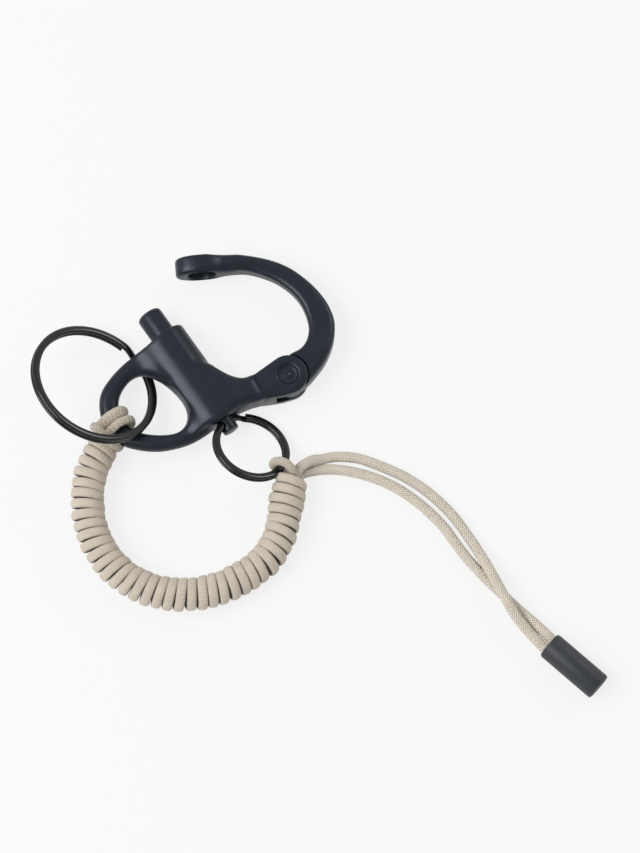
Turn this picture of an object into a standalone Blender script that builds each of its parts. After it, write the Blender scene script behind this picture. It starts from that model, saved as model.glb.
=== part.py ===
"""Elastic keyring: an open snap shackle with two split rings and a wrapped elastic cord.

World frame, in metres. The barrel of the shackle lies along Y and rests on its flat at z = 0,
the cord bail points along -X and the hinged jaw along +X. The plunger tip points along +Y.
"""
import math

import bmesh
import bpy
from mathutils import Matrix, Vector

# One clearance for pieces that touch, one overrun for cuts
FIT_GAP = 0.0003
CUT_OVERRUN = 0.002

# Vertices closer than this are one
WELD_DISTANCE = 0.000002

# Shackle barrel, round but for a flat above and below
BARREL_LENGTH = 0.0229
BARREL_FLAT_HEIGHT = 0.0085
BARREL_FLAT_DEPTH = 0.00015
BARREL_RADIUS = BARREL_FLAT_HEIGHT / 2 + BARREL_FLAT_DEPTH
BARREL_EDGE = 0.0005
BARREL_SIDES = 21
AXIS_Z = BARREL_FLAT_HEIGHT / 2

# Cord bail, a flat loop beside the barrel
BAIL_REACH = 0.0213
BAIL_THICKNESS = 0.0036
BAIL_ROUNDING_SHARE = 0.0611
BAIL_ROUNDING = BARREL_LENGTH * BAIL_ROUNDING_SHARE
BAIL_OUTER_SHARES = (
    (-0.110, 0.360), (0.141, 0.485), (0.305, 0.485), (0.446, 0.472), (0.587, 0.450), (0.728, 0.410),
    (0.836, 0.358), (0.915, 0.279), (0.972, 0.175), (1.000, 0.057), (1.000, -0.044), (0.958, -0.162),
    (0.850, -0.284), (0.714, -0.389), (0.563, -0.459), (0.413, -0.498), (0.258, -0.507),
    (0.117, -0.489), (-0.110, -0.360))
BAIL_HOLE_SHARES = (
    (0.756, 0.179), (0.681, 0.249), (0.563, 0.297), (0.465, 0.301), (0.394, 0.271), (0.338, 0.205),
    (0.282, 0.100), (0.244, -0.044), (0.239, -0.162), (0.268, -0.258), (0.329, -0.323),
    (0.418, -0.349), (0.516, -0.323), (0.638, -0.249), (0.742, -0.153), (0.803, -0.039),
    (0.808, 0.074))

# Neck and fork that carry the jaw's pivot, which lies beside the barrel's end
PIVOT_X = 0.01615
PIVOT_DROP_SHARE = 0.4987
PIVOT_DROP = BARREL_LENGTH * PIVOT_DROP_SHARE
NECK_THICKNESS = 0.0075
NECK_ROUNDING = 0.0009
NECK_SHARES = (
    (-0.124, 0.310), (0.124, 0.235), (0.272, 0.105), (0.291, -0.053), (0.328, -0.228),
    (0.396, -0.420), (0.508, -0.578), (0.625, -0.648), (0.650, -0.790), (0.628, -1.000),
    (0.616, -1.070), (0.572, -1.114), (0.508, -1.096), (0.390, -1.022), (0.272, -0.963), (0.124, -0.902),
    (-0.124, -0.850))
EAR_RADIUS = 0.00415
EAR_THICKNESS = 0.0070
EAR_EDGE = 0.00035
EAR_ARC_DEGREES = (95, -110)
EAR_TAIL_SHARES = (
    (-0.880, -0.766), (-1.578, -0.429), (-1.916, -0.236), (-1.916, 0.920), (-1.386, 0.957),
    (-0.759, 0.981))
FORK_SLOT = 0.0034
SLOT_BACK_CLEARANCE = 0.00075

# Pivot pin, a rivet with a head let into each ear
PIN_SHANK_RADIUS = 0.0014
PIN_HEAD_RADIUS = 0.0019
PIN_HEAD_HEIGHT = 0.0007
PIN_RECESS = 0.0004
PIN_DIMPLE_RADIUS = 0.0004
PIN_DIMPLE_DEPTH = 0.0002

# Jaw, drawn closed over the plunger and then turned open
JAW_OPEN_DEGREES = 30
JAW_THICKNESS = 0.0054
JAW_ROUNDING = 0.0012
JAW_OUTER_SHARES = (
    (-1.211, 1.066), (-1.000, 1.072), (-0.814, 1.075), (-0.486, 1.063), (-0.115, 1.008),
    (0.152, 0.925), (0.381, 0.799), (0.536, 0.670), (0.628, 0.548), (0.666, 0.418), (0.622, 0.256),
    (0.511, 0.111), (0.393, 0.017), (0.263, -0.066), (0.139, -0.121), (0.028, -0.082),
    (-0.015, 0.056), (0.015, 0.158), (0.077, 0.194))
JAW_INNER_SHARES = (
    (0.195, 0.229), (0.288, 0.304), (0.325, 0.418), (0.288, 0.552), (0.201, 0.670), (0.059, 0.772),
    (-0.139, 0.862), (-0.430, 0.935), (-0.690, 0.938), (-0.907, 0.935), (-1.124, 0.936),
    (-1.241, 0.985))
TONGUE_RADIUS = 0.0040
TONGUE_THICKNESS = FORK_SLOT - 2 * FIT_GAP
TONGUE_BOSS = 0.0001
SHOULDER_CLEARANCE = 0.00037
EYE_GAP = 0.00045
EYE_DEPTH = 0.0041
EYE_WIDTH = 0.0110
EYE_HEIGHT = 0.0074
EYE_EDGE = 0.0007
EYE_HOLE_RADIUS = 0.0029
EYE_OVAL_POWER = 2.4

# Plunger and its spring
PLUNGER_RADIUS = 0.0025
PLUNGER_TIP_PROJECTION = 0.0049
PLUNGER_TIP_CHAMFER = 0.0006
PLUNGER_HEAD_LENGTH = 0.01535
STEM_RADIUS = 0.00175
STEM_PROJECTION = 0.0029
STEM_EDGE = 0.0003
STEM_HOLE_RADIUS = 0.0013
STEM_HOLE_OFFSET = 0.00095
HEAD_BORE_FLOOR = 0.0040
SPRING_WIRE = 0.0005
SPRING_RADIUS = 0.00235
SPRING_TURNS = 5.5

# Split rings: two flat turns of wire, one on the other
TURN_GAP = 0.0001
KEY_RING_RADIUS = 0.0133
KEY_RING_WIDTH = 0.0015
KEY_RING_TURN_HEIGHT = 0.0008
KEY_RING_TILT_DEGREES = 33.3
KEY_RING_HANG = 0.00552
KEY_RING_SHIFT = 0.00085
KEY_RING_SEAT_SHARES = (0.554, 0.380)
KEY_RING_CUT_DEGREES = 22
PULL_RING_RADIUS = 0.0075
PULL_RING_WIDTH = 0.0014
PULL_RING_TURN_HEIGHT = 0.00068
PULL_RING_PLAY = 0.0001
PULL_RING_ROLL_DEGREES = 29
PULL_RING_SKEW_DEGREES = 5
PULL_RING_LIFT_DEGREES = 10
PULL_RING_CUT_DEGREES = 73
RING_CORNER_SHARE = 0.22
RING_JOG_DEGREES = 18

# Elastic cord; the routes are drawn by hand, in metres
CORD_DIAMETER = 0.00215
COIL_DIAMETER = 0.0072
HITCH_ROUTE = (
    (-0.02491, -0.00053, 0.0039), (-0.02395, 0.00015, 0.0042), (-0.0231, 0.0011, 0.0050),
    (-0.02235, 0.0018, 0.0059), (-0.02182, 0.0020, 0.00667), (-0.0199, 0.0021, 0.00745),
    (-0.0186, 0.0021, 0.00745), (-0.01665, 0.0021, 0.00665), (-0.01595, 0.0020, 0.0052),
    (-0.0158, 0.0020, 0.0033), (-0.0165, 0.0020, 0.0019), (-0.0186, 0.0021, 0.00125),
    (-0.0201, 0.0025, 0.00125), (-0.0218, 0.0033, 0.0019), (-0.0227, 0.0040, 0.0032),
    (-0.0230, 0.0043, 0.0048), (-0.0232, 0.0040, 0.0067), (-0.0232, 0.0029, 0.0083),
    (-0.0230, 0.0010, 0.0090), (-0.0228, -0.0008, 0.0089), (-0.0225, -0.0025, 0.0079),
    (-0.0222, -0.0036, 0.0062), (-0.0219, -0.0039, 0.0042), (-0.0213, -0.0033, 0.0022),
    (-0.0200, -0.0018, 0.00125), (-0.0185, -0.0008, 0.00125), (-0.0165, -0.0003, 0.0019),
    (-0.0158, -0.0003, 0.0033), (-0.01595, -0.0003, 0.0052), (-0.01665, -0.0002, 0.00665),
    (-0.0186, -0.0002, 0.00745), (-0.0199, -0.0002, 0.00745), (-0.02182, -0.0003, 0.00667),
    (-0.0225, -0.0006, 0.0059), (-0.0227, -0.0012, 0.0051), (-0.0231, -0.0019, 0.0043),
    (-0.02371, -0.00236, 0.0039))
COIL_ROUTE = (
    (-0.0246, -0.0018, 0.0037), (-0.0290, -0.0045, 0.0037), (-0.0326, -0.0086, 0.0037),
    (-0.0352, -0.0133, 0.0037), (-0.0366, -0.0193, 0.0037), (-0.0361, -0.0257, 0.0037),
    (-0.0331, -0.0320, 0.0037), (-0.0280, -0.0369, 0.0037), (-0.0221, -0.0398, 0.0037),
    (-0.0163, -0.0405, 0.0037), (-0.0100, -0.0393, 0.0037), (-0.0048, -0.0366, 0.0037),
    (-0.0003, -0.0340, 0.0037), (0.00435, -0.03055, 0.0037))
LOOP_ROUTE = (
    (0.0040, -0.0290, 0.0026), (0.0043, -0.0284, 0.0024), (0.0039, -0.0276, 0.0023),
    (0.0032, -0.0266, 0.0024), (0.0024, -0.0255, 0.0030), (0.0020, -0.0247, 0.0042),
    (0.0021, -0.0243, 0.0058), (0.0029, -0.0243, 0.0073), (0.0040, -0.0250, 0.0081),
    (0.0048, -0.0262, 0.0082), (0.0052, -0.0274, 0.0076), (0.0052, -0.0282, 0.0064),
    (0.00445, -0.02895, 0.0054))
TAIL_A_ROUTE = (
    (0.00532, -0.03066, 0.0042), (0.0060, -0.0302, 0.0041), (0.0076, -0.0294, 0.0037),
    (0.0105, -0.0289, 0.0022), (0.0137, -0.0295, 0.0012), (0.0164, -0.0313, 0.0011),
    (0.0189, -0.0337, 0.0011), (0.0218, -0.0379, 0.0011), (0.0244, -0.0425, 0.0011),
    (0.0264, -0.0479, 0.0011), (0.0276, -0.0542, 0.0011), (0.0277, -0.0600, 0.0012),
    (0.0274, -0.0647, 0.0018), (0.0268, -0.0695, 0.0030), (0.0260, -0.0752, 0.0036),
    (0.0256, -0.0802, 0.0032), (0.0260, -0.0850, 0.0029), (0.0266, -0.0889, 0.0029),
    (0.0275, -0.0927, 0.0029), (0.0284, -0.0966, 0.0029))
TAIL_B_ROUTE = (
    (0.00556, -0.0311, 0.0019), (0.0063, -0.0307, 0.0016), (0.0083, -0.0308, 0.0012),
    (0.0117, -0.0317, 0.00115), (0.0154, -0.0346, 0.0011), (0.0186, -0.0383, 0.0011),
    (0.0213, -0.0428, 0.0011), (0.0233, -0.0482, 0.0011), (0.0246, -0.0546, 0.0011),
    (0.0247, -0.0600, 0.0011), (0.0248, -0.0640, 0.0011), (0.0254, -0.0690, 0.0011),
    (0.0262, -0.0735, 0.0011), (0.0270, -0.0780, 0.0012), (0.0278, -0.0820, 0.0018),
    (0.0284, -0.0855, 0.0026), (0.0289, -0.0884, 0.0029), (0.0298, -0.0922, 0.0029),
    (0.0307, -0.0961, 0.0029))

# Cord end sleeve
SLEEVE_RADIUS = 0.0029
SLEEVE_LENGTH = 0.0134
SLEEVE_BORE_RADIUS = 0.0024
SLEEVE_BORE_DEPTH = 0.0106
SLEEVE_EDGE = 0.0004
SLEEVE_MOUTH = (0.0277, -0.0886)
SLEEVE_HEADING_DEGREES = -76.5

# Places that follow from the sizes above
PIVOT_Y = -PIVOT_DROP
BARREL_END = BARREL_LENGTH / 2
PLUNGER_TIP_Y = BARREL_END + PLUNGER_TIP_PROJECTION
SHOULDER_Y = PLUNGER_TIP_Y - PLUNGER_HEAD_LENGTH
STEM_END_Y = -BARREL_END - STEM_PROJECTION
STEM_HOLE_Y = -BARREL_END - STEM_HOLE_OFFSET
BORE_FLOOR_Y = -BARREL_END + HEAD_BORE_FLOOR
EYE_Y = BARREL_END + EYE_GAP + EYE_DEPTH / 2
JAW_RISE = EYE_Y - PIVOT_Y

COLLECTION = "elastic_keyring"
CUTTERS = "elastic_keyring_cutters"


def clear_scene():
    """Start from an empty scene."""
    for old in list(bpy.data.objects):
        bpy.data.objects.remove(old, do_unlink=True)
    for name in (COLLECTION, CUTTERS):
        bpy.context.scene.collection.children.link(bpy.data.collections.new(name))


def material(name, colour, roughness, metallic=0.0):
    """A plain Principled material."""
    made = bpy.data.materials.new(name)
    made.use_nodes = True
    shader = made.node_tree.nodes["Principled BSDF"]
    shader.inputs["Base Color"].default_value = (*colour, 1.0)
    shader.inputs["Roughness"].default_value = roughness
    shader.inputs["Metallic"].default_value = metallic
    return made


def add_object(name, data, group=COLLECTION):
    """Link a new object to a collection."""
    made = bpy.data.objects.new(name, data)
    bpy.data.collections[group].objects.link(made)
    if group == CUTTERS:
        made.hide_render = True
        made.display_type = "WIRE"
    return made


def curve_to_mesh(name, curve_object, group=CUTTERS):
    """Turn a curve object into a closed mesh object and remove the curve."""
    bpy.context.view_layer.update()
    evaluated = curve_object.evaluated_get(bpy.context.evaluated_depsgraph_get())
    mesh = bpy.data.meshes.new_from_object(evaluated)
    place = curve_object.matrix_world.copy()
    bpy.data.objects.remove(curve_object, do_unlink=True)
    work = bmesh.new()
    work.from_mesh(mesh)
    bmesh.ops.remove_doubles(work, verts=work.verts, dist=WELD_DISTANCE)
    bmesh.ops.recalc_face_normals(work, faces=work.faces)
    bmesh.ops.triangulate(work, faces=work.faces)
    work.to_mesh(mesh)
    work.free()
    made = add_object(name, mesh, group)
    made.matrix_world = place
    return made


def smooth_points(points, steps, closed):
    """Points on a smooth curve through the given points, ends included on an open one."""
    nodes = [Vector(point) for point in points]
    count = len(nodes)
    spans = count if closed else count - 1
    result = []
    for index in range(spans):
        if closed:
            before, start, end, after = (nodes[(index + k) % count] for k in (-1, 0, 1, 2))
        else:
            before, start = nodes[max(index - 1, 0)], nodes[index]
            end, after = nodes[index + 1], nodes[min(index + 2, count - 1)]
        for step in range(steps):
            t = step / steps
            result.append(0.5 * (2 * start + (end - before) * t
                                 + (2 * before - 5 * start + 4 * end - after) * t ** 2
                                 + (3 * start - before - 3 * end + after) * t ** 3))
    if not closed:
        result.append(nodes[-1])
    return result


def flat_plate(name, loops, thickness, rounding, group=CUTTERS, bevel_steps=2):
    """A flat outline, with any holes, as a plate with rounded edges and its middle at z = 0."""
    curve = bpy.data.curves.new(name, "CURVE")
    curve.dimensions = "2D"
    curve.fill_mode = "BOTH"
    curve.extrude = thickness / 2 - rounding
    curve.bevel_depth = rounding
    curve.bevel_resolution = bevel_steps
    curve.offset = -rounding
    for loop in loops:
        spline = curve.splines.new("POLY")
        spline.points.add(len(loop) - 1)
        for point, place in zip(spline.points, loop):
            point.co = (place[0], place[1], 0, 1)
        spline.use_cyclic_u = True
    return curve_to_mesh(name, add_object(name + "_curve", curve, CUTTERS), group)


def tube(name, points, radius, sides_level, group=COLLECTION):
    """A round tube with filled caps on a polyline."""
    curve = bpy.data.curves.new(name, "CURVE")
    curve.dimensions = "3D"
    curve.bevel_depth = radius
    curve.bevel_resolution = sides_level
    curve.use_fill_caps = True
    spline = curve.splines.new("POLY")
    spline.points.add(len(points) - 1)
    for point, place in zip(spline.points, points):
        point.co = (*place, 1)
    return curve_to_mesh(name, add_object(name + "_curve", curve, CUTTERS), group)


def turned(name, profile, sides, group=COLLECTION):
    """A solid turned about Z from a profile of (radius, height) that runs from top to bottom."""
    mesh = bpy.data.meshes.new(name)
    mesh.from_pydata([(radius, 0, height) for radius, height in profile],
                     [(index, index + 1) for index in range(len(profile) - 1)], [])
    made = add_object(name, mesh, group)
    screw = made.modifiers.new("turn", "SCREW")
    screw.axis = "Z"
    screw.steps = sides
    screw.render_steps = sides
    screw.use_merge_vertices = True
    screw.merge_threshold = WELD_DISTANCE
    return made


def along_y(made):
    """Stand a turned piece along +Y."""
    made.rotation_euler = (-math.pi / 2, 0, 0)
    return made


def cylinder(name, radius, depth, place, rotation=(0, 0, 0), sides=32):
    """A cutter cylinder."""
    work = bmesh.new()
    bmesh.ops.create_cone(work, cap_ends=True, segments=sides, radius1=radius, radius2=radius,
                          depth=depth)
    mesh = bpy.data.meshes.new(name)
    work.to_mesh(mesh)
    work.free()
    made = add_object(name, mesh, CUTTERS)
    made.location = place
    made.rotation_euler = rotation
    return made


def box(name, low, high):
    """A cutter box between two corners."""
    work = bmesh.new()
    bmesh.ops.create_cube(work, size=1)
    for vertex in work.verts:
        vertex.co = [lo + (hi - lo) * (value + 0.5) for value, lo, hi in zip(vertex.co, low, high)]
    mesh = bpy.data.meshes.new(name)
    work.to_mesh(mesh)
    work.free()
    return add_object(name, mesh, CUTTERS)


def combine(target, operation, other):
    """Join or cut a piece with another solid."""
    modifier = target.modifiers.new(other.name, "BOOLEAN")
    modifier.operation = operation
    modifier.solver = "EXACT"
    modifier.object = other


def dress(made, finish, sharp_degrees=35):
    """Give a piece its material and smooth shading."""
    made.data.materials.clear()
    made.data.materials.append(finish)
    made.data.shade_smooth()
    made.data.set_sharp_from_angle(angle=math.radians(sharp_degrees))
    return made


def barrel_outline():
    """The barrel's round section with a flat above and below, as (x, z) pairs."""
    corner = math.asin(AXIS_Z / BARREL_RADIUS)
    points = []
    for middle in (0, math.pi):
        for step in range(BARREL_SIDES + 1):
            angle = middle + corner * (2 * step / BARREL_SIDES - 1)
            points.append((BARREL_RADIUS * math.cos(angle), BARREL_RADIUS * math.sin(angle)))
    return points


def ear_outline():
    """The fork's outline: an arc about the pivot and a tail that runs into the neck."""
    first, last = EAR_ARC_DEGREES
    count = 16
    points = []
    for step in range(count + 1):
        angle = math.radians(first + (last - first) * step / count)
        points.append((PIVOT_X + EAR_RADIUS * math.cos(angle), PIVOT_Y + EAR_RADIUS * math.sin(angle)))
    points += [(PIVOT_X + EAR_RADIUS * sx, PIVOT_Y + EAR_RADIUS * sy) for sx, sy in EAR_TAIL_SHARES]
    return points


def make_shackle_body(finish):
    """Barrel, cord bail, neck and fork in one cast piece, bored for the plunger."""
    outer = smooth_points([(-BAIL_REACH * sx, BARREL_LENGTH * sy, 0)
                           for sx, sy in BAIL_OUTER_SHARES], 3, True)
    hole = smooth_points([(-BAIL_REACH * sx, BARREL_LENGTH * sy, 0)
                          for sx, sy in BAIL_HOLE_SHARES], 3, True)
    body = flat_plate("shackle_body", (outer, hole), BAIL_THICKNESS, BAIL_ROUNDING, COLLECTION)
    body.location = (0, 0, AXIS_Z)

    barrel = flat_plate("barrel", (barrel_outline(),), BARREL_LENGTH, BARREL_EDGE, bevel_steps=1)
    barrel.location = (0, 0, AXIS_Z)
    barrel.rotation_euler = (math.pi / 2, 0, 0)
    neck_points = smooth_points([(PIVOT_X * sx, PIVOT_DROP * sy, 0) for sx, sy in NECK_SHARES], 2, True)
    neck = flat_plate("neck", (neck_points,), NECK_THICKNESS, NECK_ROUNDING)
    neck.location = (0, 0, AXIS_Z)
    ear = flat_plate("ear", (ear_outline(),), EAR_THICKNESS, EAR_EDGE, bevel_steps=1)
    ear.location = (0, 0, AXIS_Z)
    for part in (barrel, neck, ear):
        combine(body, "UNION", part)

    slot_back = PIVOT_X - TONGUE_RADIUS - SLOT_BACK_CLEARANCE
    reach = EAR_RADIUS + CUT_OVERRUN
    slot = box("slot", (slot_back, PIVOT_Y - reach, AXIS_Z - FORK_SLOT / 2),
               (PIVOT_X + reach, PIVOT_Y + reach, AXIS_Z + FORK_SLOT / 2))
    head_bore_length = BARREL_END - BORE_FLOOR_Y + CUT_OVERRUN
    head_bore = cylinder("head_bore", PLUNGER_RADIUS + FIT_GAP, head_bore_length,
                         (0, BORE_FLOOR_Y + head_bore_length / 2, AXIS_Z), (math.pi / 2, 0, 0))
    stem_bore = cylinder("stem_bore", STEM_RADIUS + FIT_GAP, BARREL_LENGTH + CUT_OVERRUN,
                         (0, 0, AXIS_Z), (math.pi / 2, 0, 0))
    pin_hole = cylinder("pin_hole", PIN_SHANK_RADIUS + FIT_GAP, EAR_THICKNESS + CUT_OVERRUN,
                        (PIVOT_X, PIVOT_Y, AXIS_Z))
    cuts = [slot, head_bore, stem_bore, pin_hole]
    recess_depth = PIN_RECESS + PIN_HEAD_HEIGHT + FIT_GAP
    for side, label in ((1, "upper"), (-1, "lower")):
        height = AXIS_Z + side * (EAR_THICKNESS / 2 - recess_depth + (recess_depth + CUT_OVERRUN) / 2)
        cuts.append(cylinder(label + "_recess", PIN_HEAD_RADIUS + FIT_GAP, recess_depth + CUT_OVERRUN,
                             (PIVOT_X, PIVOT_Y, height)))
    for cut in cuts:
        combine(body, "DIFFERENCE", cut)
    return dress(body, finish)


def make_pivot_pin(finish):
    """A rivet through both ears and the jaw's tongue."""
    top = EAR_THICKNESS / 2 - PIN_RECESS
    neck = top - PIN_HEAD_HEIGHT
    profile = [(0, top - PIN_DIMPLE_DEPTH), (PIN_DIMPLE_RADIUS, top), (PIN_HEAD_RADIUS, top),
               (PIN_HEAD_RADIUS, neck), (PIN_SHANK_RADIUS, neck), (PIN_SHANK_RADIUS, -neck),
               (PIN_HEAD_RADIUS, -neck), (PIN_HEAD_RADIUS, -top), (0, -top)]
    pin = turned("pivot_pin", profile, 32)
    pin.location = (PIVOT_X, PIVOT_Y, AXIS_Z)
    return dress(pin, finish)


def make_jaw(finish):
    """The hook, drawn closed about its pivot: shoulder, tongue and latch eye."""
    outline = smooth_points([(PIVOT_X * sx, JAW_RISE * sy, 0)
                             for sx, sy in JAW_OUTER_SHARES + JAW_INNER_SHARES], 2, True)
    jaw = flat_plate("jaw", (outline,), JAW_THICKNESS, JAW_ROUNDING, COLLECTION)
    seat_depth = (JAW_THICKNESS - TONGUE_THICKNESS) / 2 + CUT_OVERRUN
    seat_height = TONGUE_THICKNESS / 2 - TONGUE_BOSS + seat_depth / 2
    upper_seat, lower_seat = (
        cylinder(label + "_seat", EAR_RADIUS + SHOULDER_CLEARANCE, seat_depth,
                 (0, 0, side * seat_height), sides=48)
        for side, label in ((1, "upper"), (-1, "lower")))
    tongue = cylinder("tongue", TONGUE_RADIUS, TONGUE_THICKNESS, (0, 0, 0), sides=40)
    eye_points = []
    for step in range(40):
        angle = 2 * math.pi * step / 40
        cosine, sine = math.cos(angle), math.sin(angle)
        stretch = (abs(cosine) ** EYE_OVAL_POWER + abs(sine) ** EYE_OVAL_POWER) ** (-1 / EYE_OVAL_POWER)
        eye_points.append((EYE_WIDTH / 2 * cosine * stretch, EYE_HEIGHT / 2 * sine * stretch))
    eye = flat_plate("eye", (eye_points,), EYE_DEPTH, EYE_EDGE)
    eye.location = (-PIVOT_X, JAW_RISE, 0)
    eye.rotation_euler = (math.pi / 2, 0, 0)
    pin_hole = cylinder("jaw_pin_hole", PIN_SHANK_RADIUS + FIT_GAP, TONGUE_THICKNESS + CUT_OVERRUN,
                        (0, 0, 0))
    eye_hole = cylinder("eye_hole", EYE_HOLE_RADIUS, EYE_DEPTH + CUT_OVERRUN, (-PIVOT_X, JAW_RISE, 0),
                        (math.pi / 2, 0, 0))
    tools = (("DIFFERENCE", upper_seat), ("DIFFERENCE", lower_seat), ("UNION", tongue),
             ("UNION", eye), ("DIFFERENCE", pin_hole), ("DIFFERENCE", eye_hole))
    for operation, tool in tools:
        combine(jaw, operation, tool)
        tool.parent = jaw
    jaw.location = (PIVOT_X, PIVOT_Y, AXIS_Z)
    jaw.rotation_euler = (0, 0, math.radians(-JAW_OPEN_DEGREES))
    return dress(jaw, finish)


def make_plunger(finish):
    """The latch pin: a thick head, a shoulder for the spring and a stem with a cross hole."""
    profile = [(0, PLUNGER_TIP_Y), (PLUNGER_RADIUS - PLUNGER_TIP_CHAMFER, PLUNGER_TIP_Y),
               (PLUNGER_RADIUS, PLUNGER_TIP_Y - PLUNGER_TIP_CHAMFER), (PLUNGER_RADIUS, SHOULDER_Y),
               (STEM_RADIUS, SHOULDER_Y), (STEM_RADIUS, STEM_END_Y + STEM_EDGE),
               (STEM_RADIUS - STEM_EDGE, STEM_END_Y), (0, STEM_END_Y)]
    plunger = along_y(turned("plunger", profile, 32))
    plunger.location = (0, 0, AXIS_Z)
    hole = cylinder("stem_hole", STEM_HOLE_RADIUS, 2 * STEM_RADIUS + CUT_OVERRUN,
                    (0, STEM_HOLE_Y, AXIS_Z),
                    (0, math.pi / 2 + math.radians(PULL_RING_ROLL_DEGREES), 0))
    combine(plunger, "DIFFERENCE", hole)
    return dress(plunger, finish)


def make_plunger_spring(finish):
    """The coil spring between the bore's floor and the plunger's shoulder."""
    start = BORE_FLOOR_Y + FIT_GAP + SPRING_WIRE / 2
    end = SHOULDER_Y - FIT_GAP - SPRING_WIRE / 2
    count = int(SPRING_TURNS * 14)
    points = []
    for step in range(count + 1):
        angle = 2 * math.pi * SPRING_TURNS * step / count
        points.append((SPRING_RADIUS * math.cos(angle), start + (end - start) * step / count,
                       AXIS_Z + SPRING_RADIUS * math.sin(angle)))
    return dress(tube("plunger_spring", points, SPRING_WIRE / 2, 1), finish)


def split_ring_points(radius, turn_height, cut_degrees, centre):
    """The path of two flat turns with a short jog from the lower one to the upper one."""
    rise = turn_height + TURN_GAP
    step_degrees = 8
    total = 720 - RING_JOG_DEGREES
    points = []
    for step in range(total // step_degrees + 1):
        turned_by = step * step_degrees
        jog = min(1, max(0, (turned_by - (360 - RING_JOG_DEGREES)) / RING_JOG_DEGREES))
        ease = jog * jog * (3 - 2 * jog)
        angle = math.radians(cut_degrees + turned_by)
        points.append((centre[0] + radius * math.cos(angle), centre[1] + radius * math.sin(angle),
                       rise * (ease - 0.5)))
    return points


def make_split_ring(name, radius, width, turn_height, cut_degrees, centre, finish):
    """A split ring in its own plane: a flat wire swept along two turns."""
    corner = RING_CORNER_SHARE * turn_height
    profile = bpy.data.curves.new(name + "_section", "CURVE")
    profile.dimensions = "2D"
    section = profile.splines.new("POLY")
    half_width, half_height = width / 2, turn_height / 2
    corners = ((half_width, half_height - corner), (half_width - corner, half_height),
               (corner - half_width, half_height), (-half_width, half_height - corner),
               (-half_width, corner - half_height), (corner - half_width, -half_height),
               (half_width - corner, -half_height), (half_width, corner - half_height))
    section.points.add(len(corners) - 1)
    for point, place in zip(section.points, corners):
        point.co = (*place, 0, 1)
    section.use_cyclic_u = True
    guide = add_object(name + "_section", profile, CUTTERS)
    curve = bpy.data.curves.new(name, "CURVE")
    curve.dimensions = "3D"
    curve.twist_mode = "Z_UP"
    curve.bevel_mode = "OBJECT"
    curve.bevel_object = guide
    curve.use_fill_caps = True
    points = split_ring_points(radius, turn_height, cut_degrees, centre)
    spline = curve.splines.new("POLY")
    spline.points.add(len(points) - 1)
    for point, place in zip(spline.points, points):
        point.co = (*place, 1)
    ring = curve_to_mesh(name, add_object(name + "_curve", curve, CUTTERS), COLLECTION)
    return dress(ring, finish)


def make_key_ring(finish):
    """The large split ring, threaded on the bail's far limb and leaning on its near one."""
    offset = (KEY_RING_HANG - KEY_RING_RADIUS, KEY_RING_SHIFT)
    ring = make_split_ring("key_ring", KEY_RING_RADIUS, KEY_RING_WIDTH, KEY_RING_TURN_HEIGHT,
                           KEY_RING_CUT_DEGREES, offset, finish)
    seat_x, seat_y = KEY_RING_SEAT_SHARES
    ring.location = (-BAIL_REACH * seat_x, BARREL_LENGTH * seat_y, AXIS_Z)
    ring.rotation_euler = (0, math.radians(KEY_RING_TILT_DEGREES), 0)
    return ring


def make_pull_ring(finish):
    """The small split ring through the stem's cross hole."""
    ring = make_split_ring("pull_ring", PULL_RING_RADIUS, PULL_RING_WIDTH, PULL_RING_TURN_HEIGHT,
                           PULL_RING_CUT_DEGREES, (0, PULL_RING_PLAY - PULL_RING_RADIUS), finish)
    turn = (Matrix.Rotation(math.radians(PULL_RING_ROLL_DEGREES), 4, "Y")
            @ Matrix.Rotation(math.radians(PULL_RING_SKEW_DEGREES), 4, "Z")
            @ Matrix.Rotation(math.radians(-PULL_RING_LIFT_DEGREES), 4, "X"))
    ring.matrix_world = Matrix.Translation((0, STEM_HOLE_Y, AXIS_Z)) @ turn
    return ring


def make_cords(finish):
    """The elastic: hitch on the bail, wrapped coil, loop on the pull ring and two tails."""
    pieces = (("bail_hitch", HITCH_ROUTE, CORD_DIAMETER, 2, 2),
              ("wrap_coil", COIL_ROUTE, COIL_DIAMETER, 2, 4),
              ("ring_loop", LOOP_ROUTE, CORD_DIAMETER, 2, 2),
              ("tail_strand_a", TAIL_A_ROUTE, CORD_DIAMETER, 1, 2),
              ("tail_strand_b", TAIL_B_ROUTE, CORD_DIAMETER, 1, 2))
    for name, route, diameter, steps, sides_level in pieces:
        points = smooth_points(route, steps, False)
        dress(tube(name, points, diameter / 2, sides_level), finish)


def make_end_sleeve(finish):
    """The moulded sleeve that holds the two cord tails."""
    profile = [(0, SLEEVE_LENGTH), (SLEEVE_RADIUS - SLEEVE_EDGE, SLEEVE_LENGTH),
               (SLEEVE_RADIUS, SLEEVE_LENGTH - SLEEVE_EDGE), (SLEEVE_RADIUS, SLEEVE_EDGE),
               (SLEEVE_RADIUS - SLEEVE_EDGE / 2, 0), (SLEEVE_BORE_RADIUS, 0),
               (SLEEVE_BORE_RADIUS, SLEEVE_BORE_DEPTH), (0, SLEEVE_BORE_DEPTH)]
    sleeve = turned("end_sleeve", profile, 32)
    sleeve.location = (*SLEEVE_MOUTH, SLEEVE_RADIUS)
    sleeve.rotation_euler = (0, math.pi / 2, math.radians(SLEEVE_HEADING_DEGREES))
    return dress(sleeve, finish)


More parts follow.
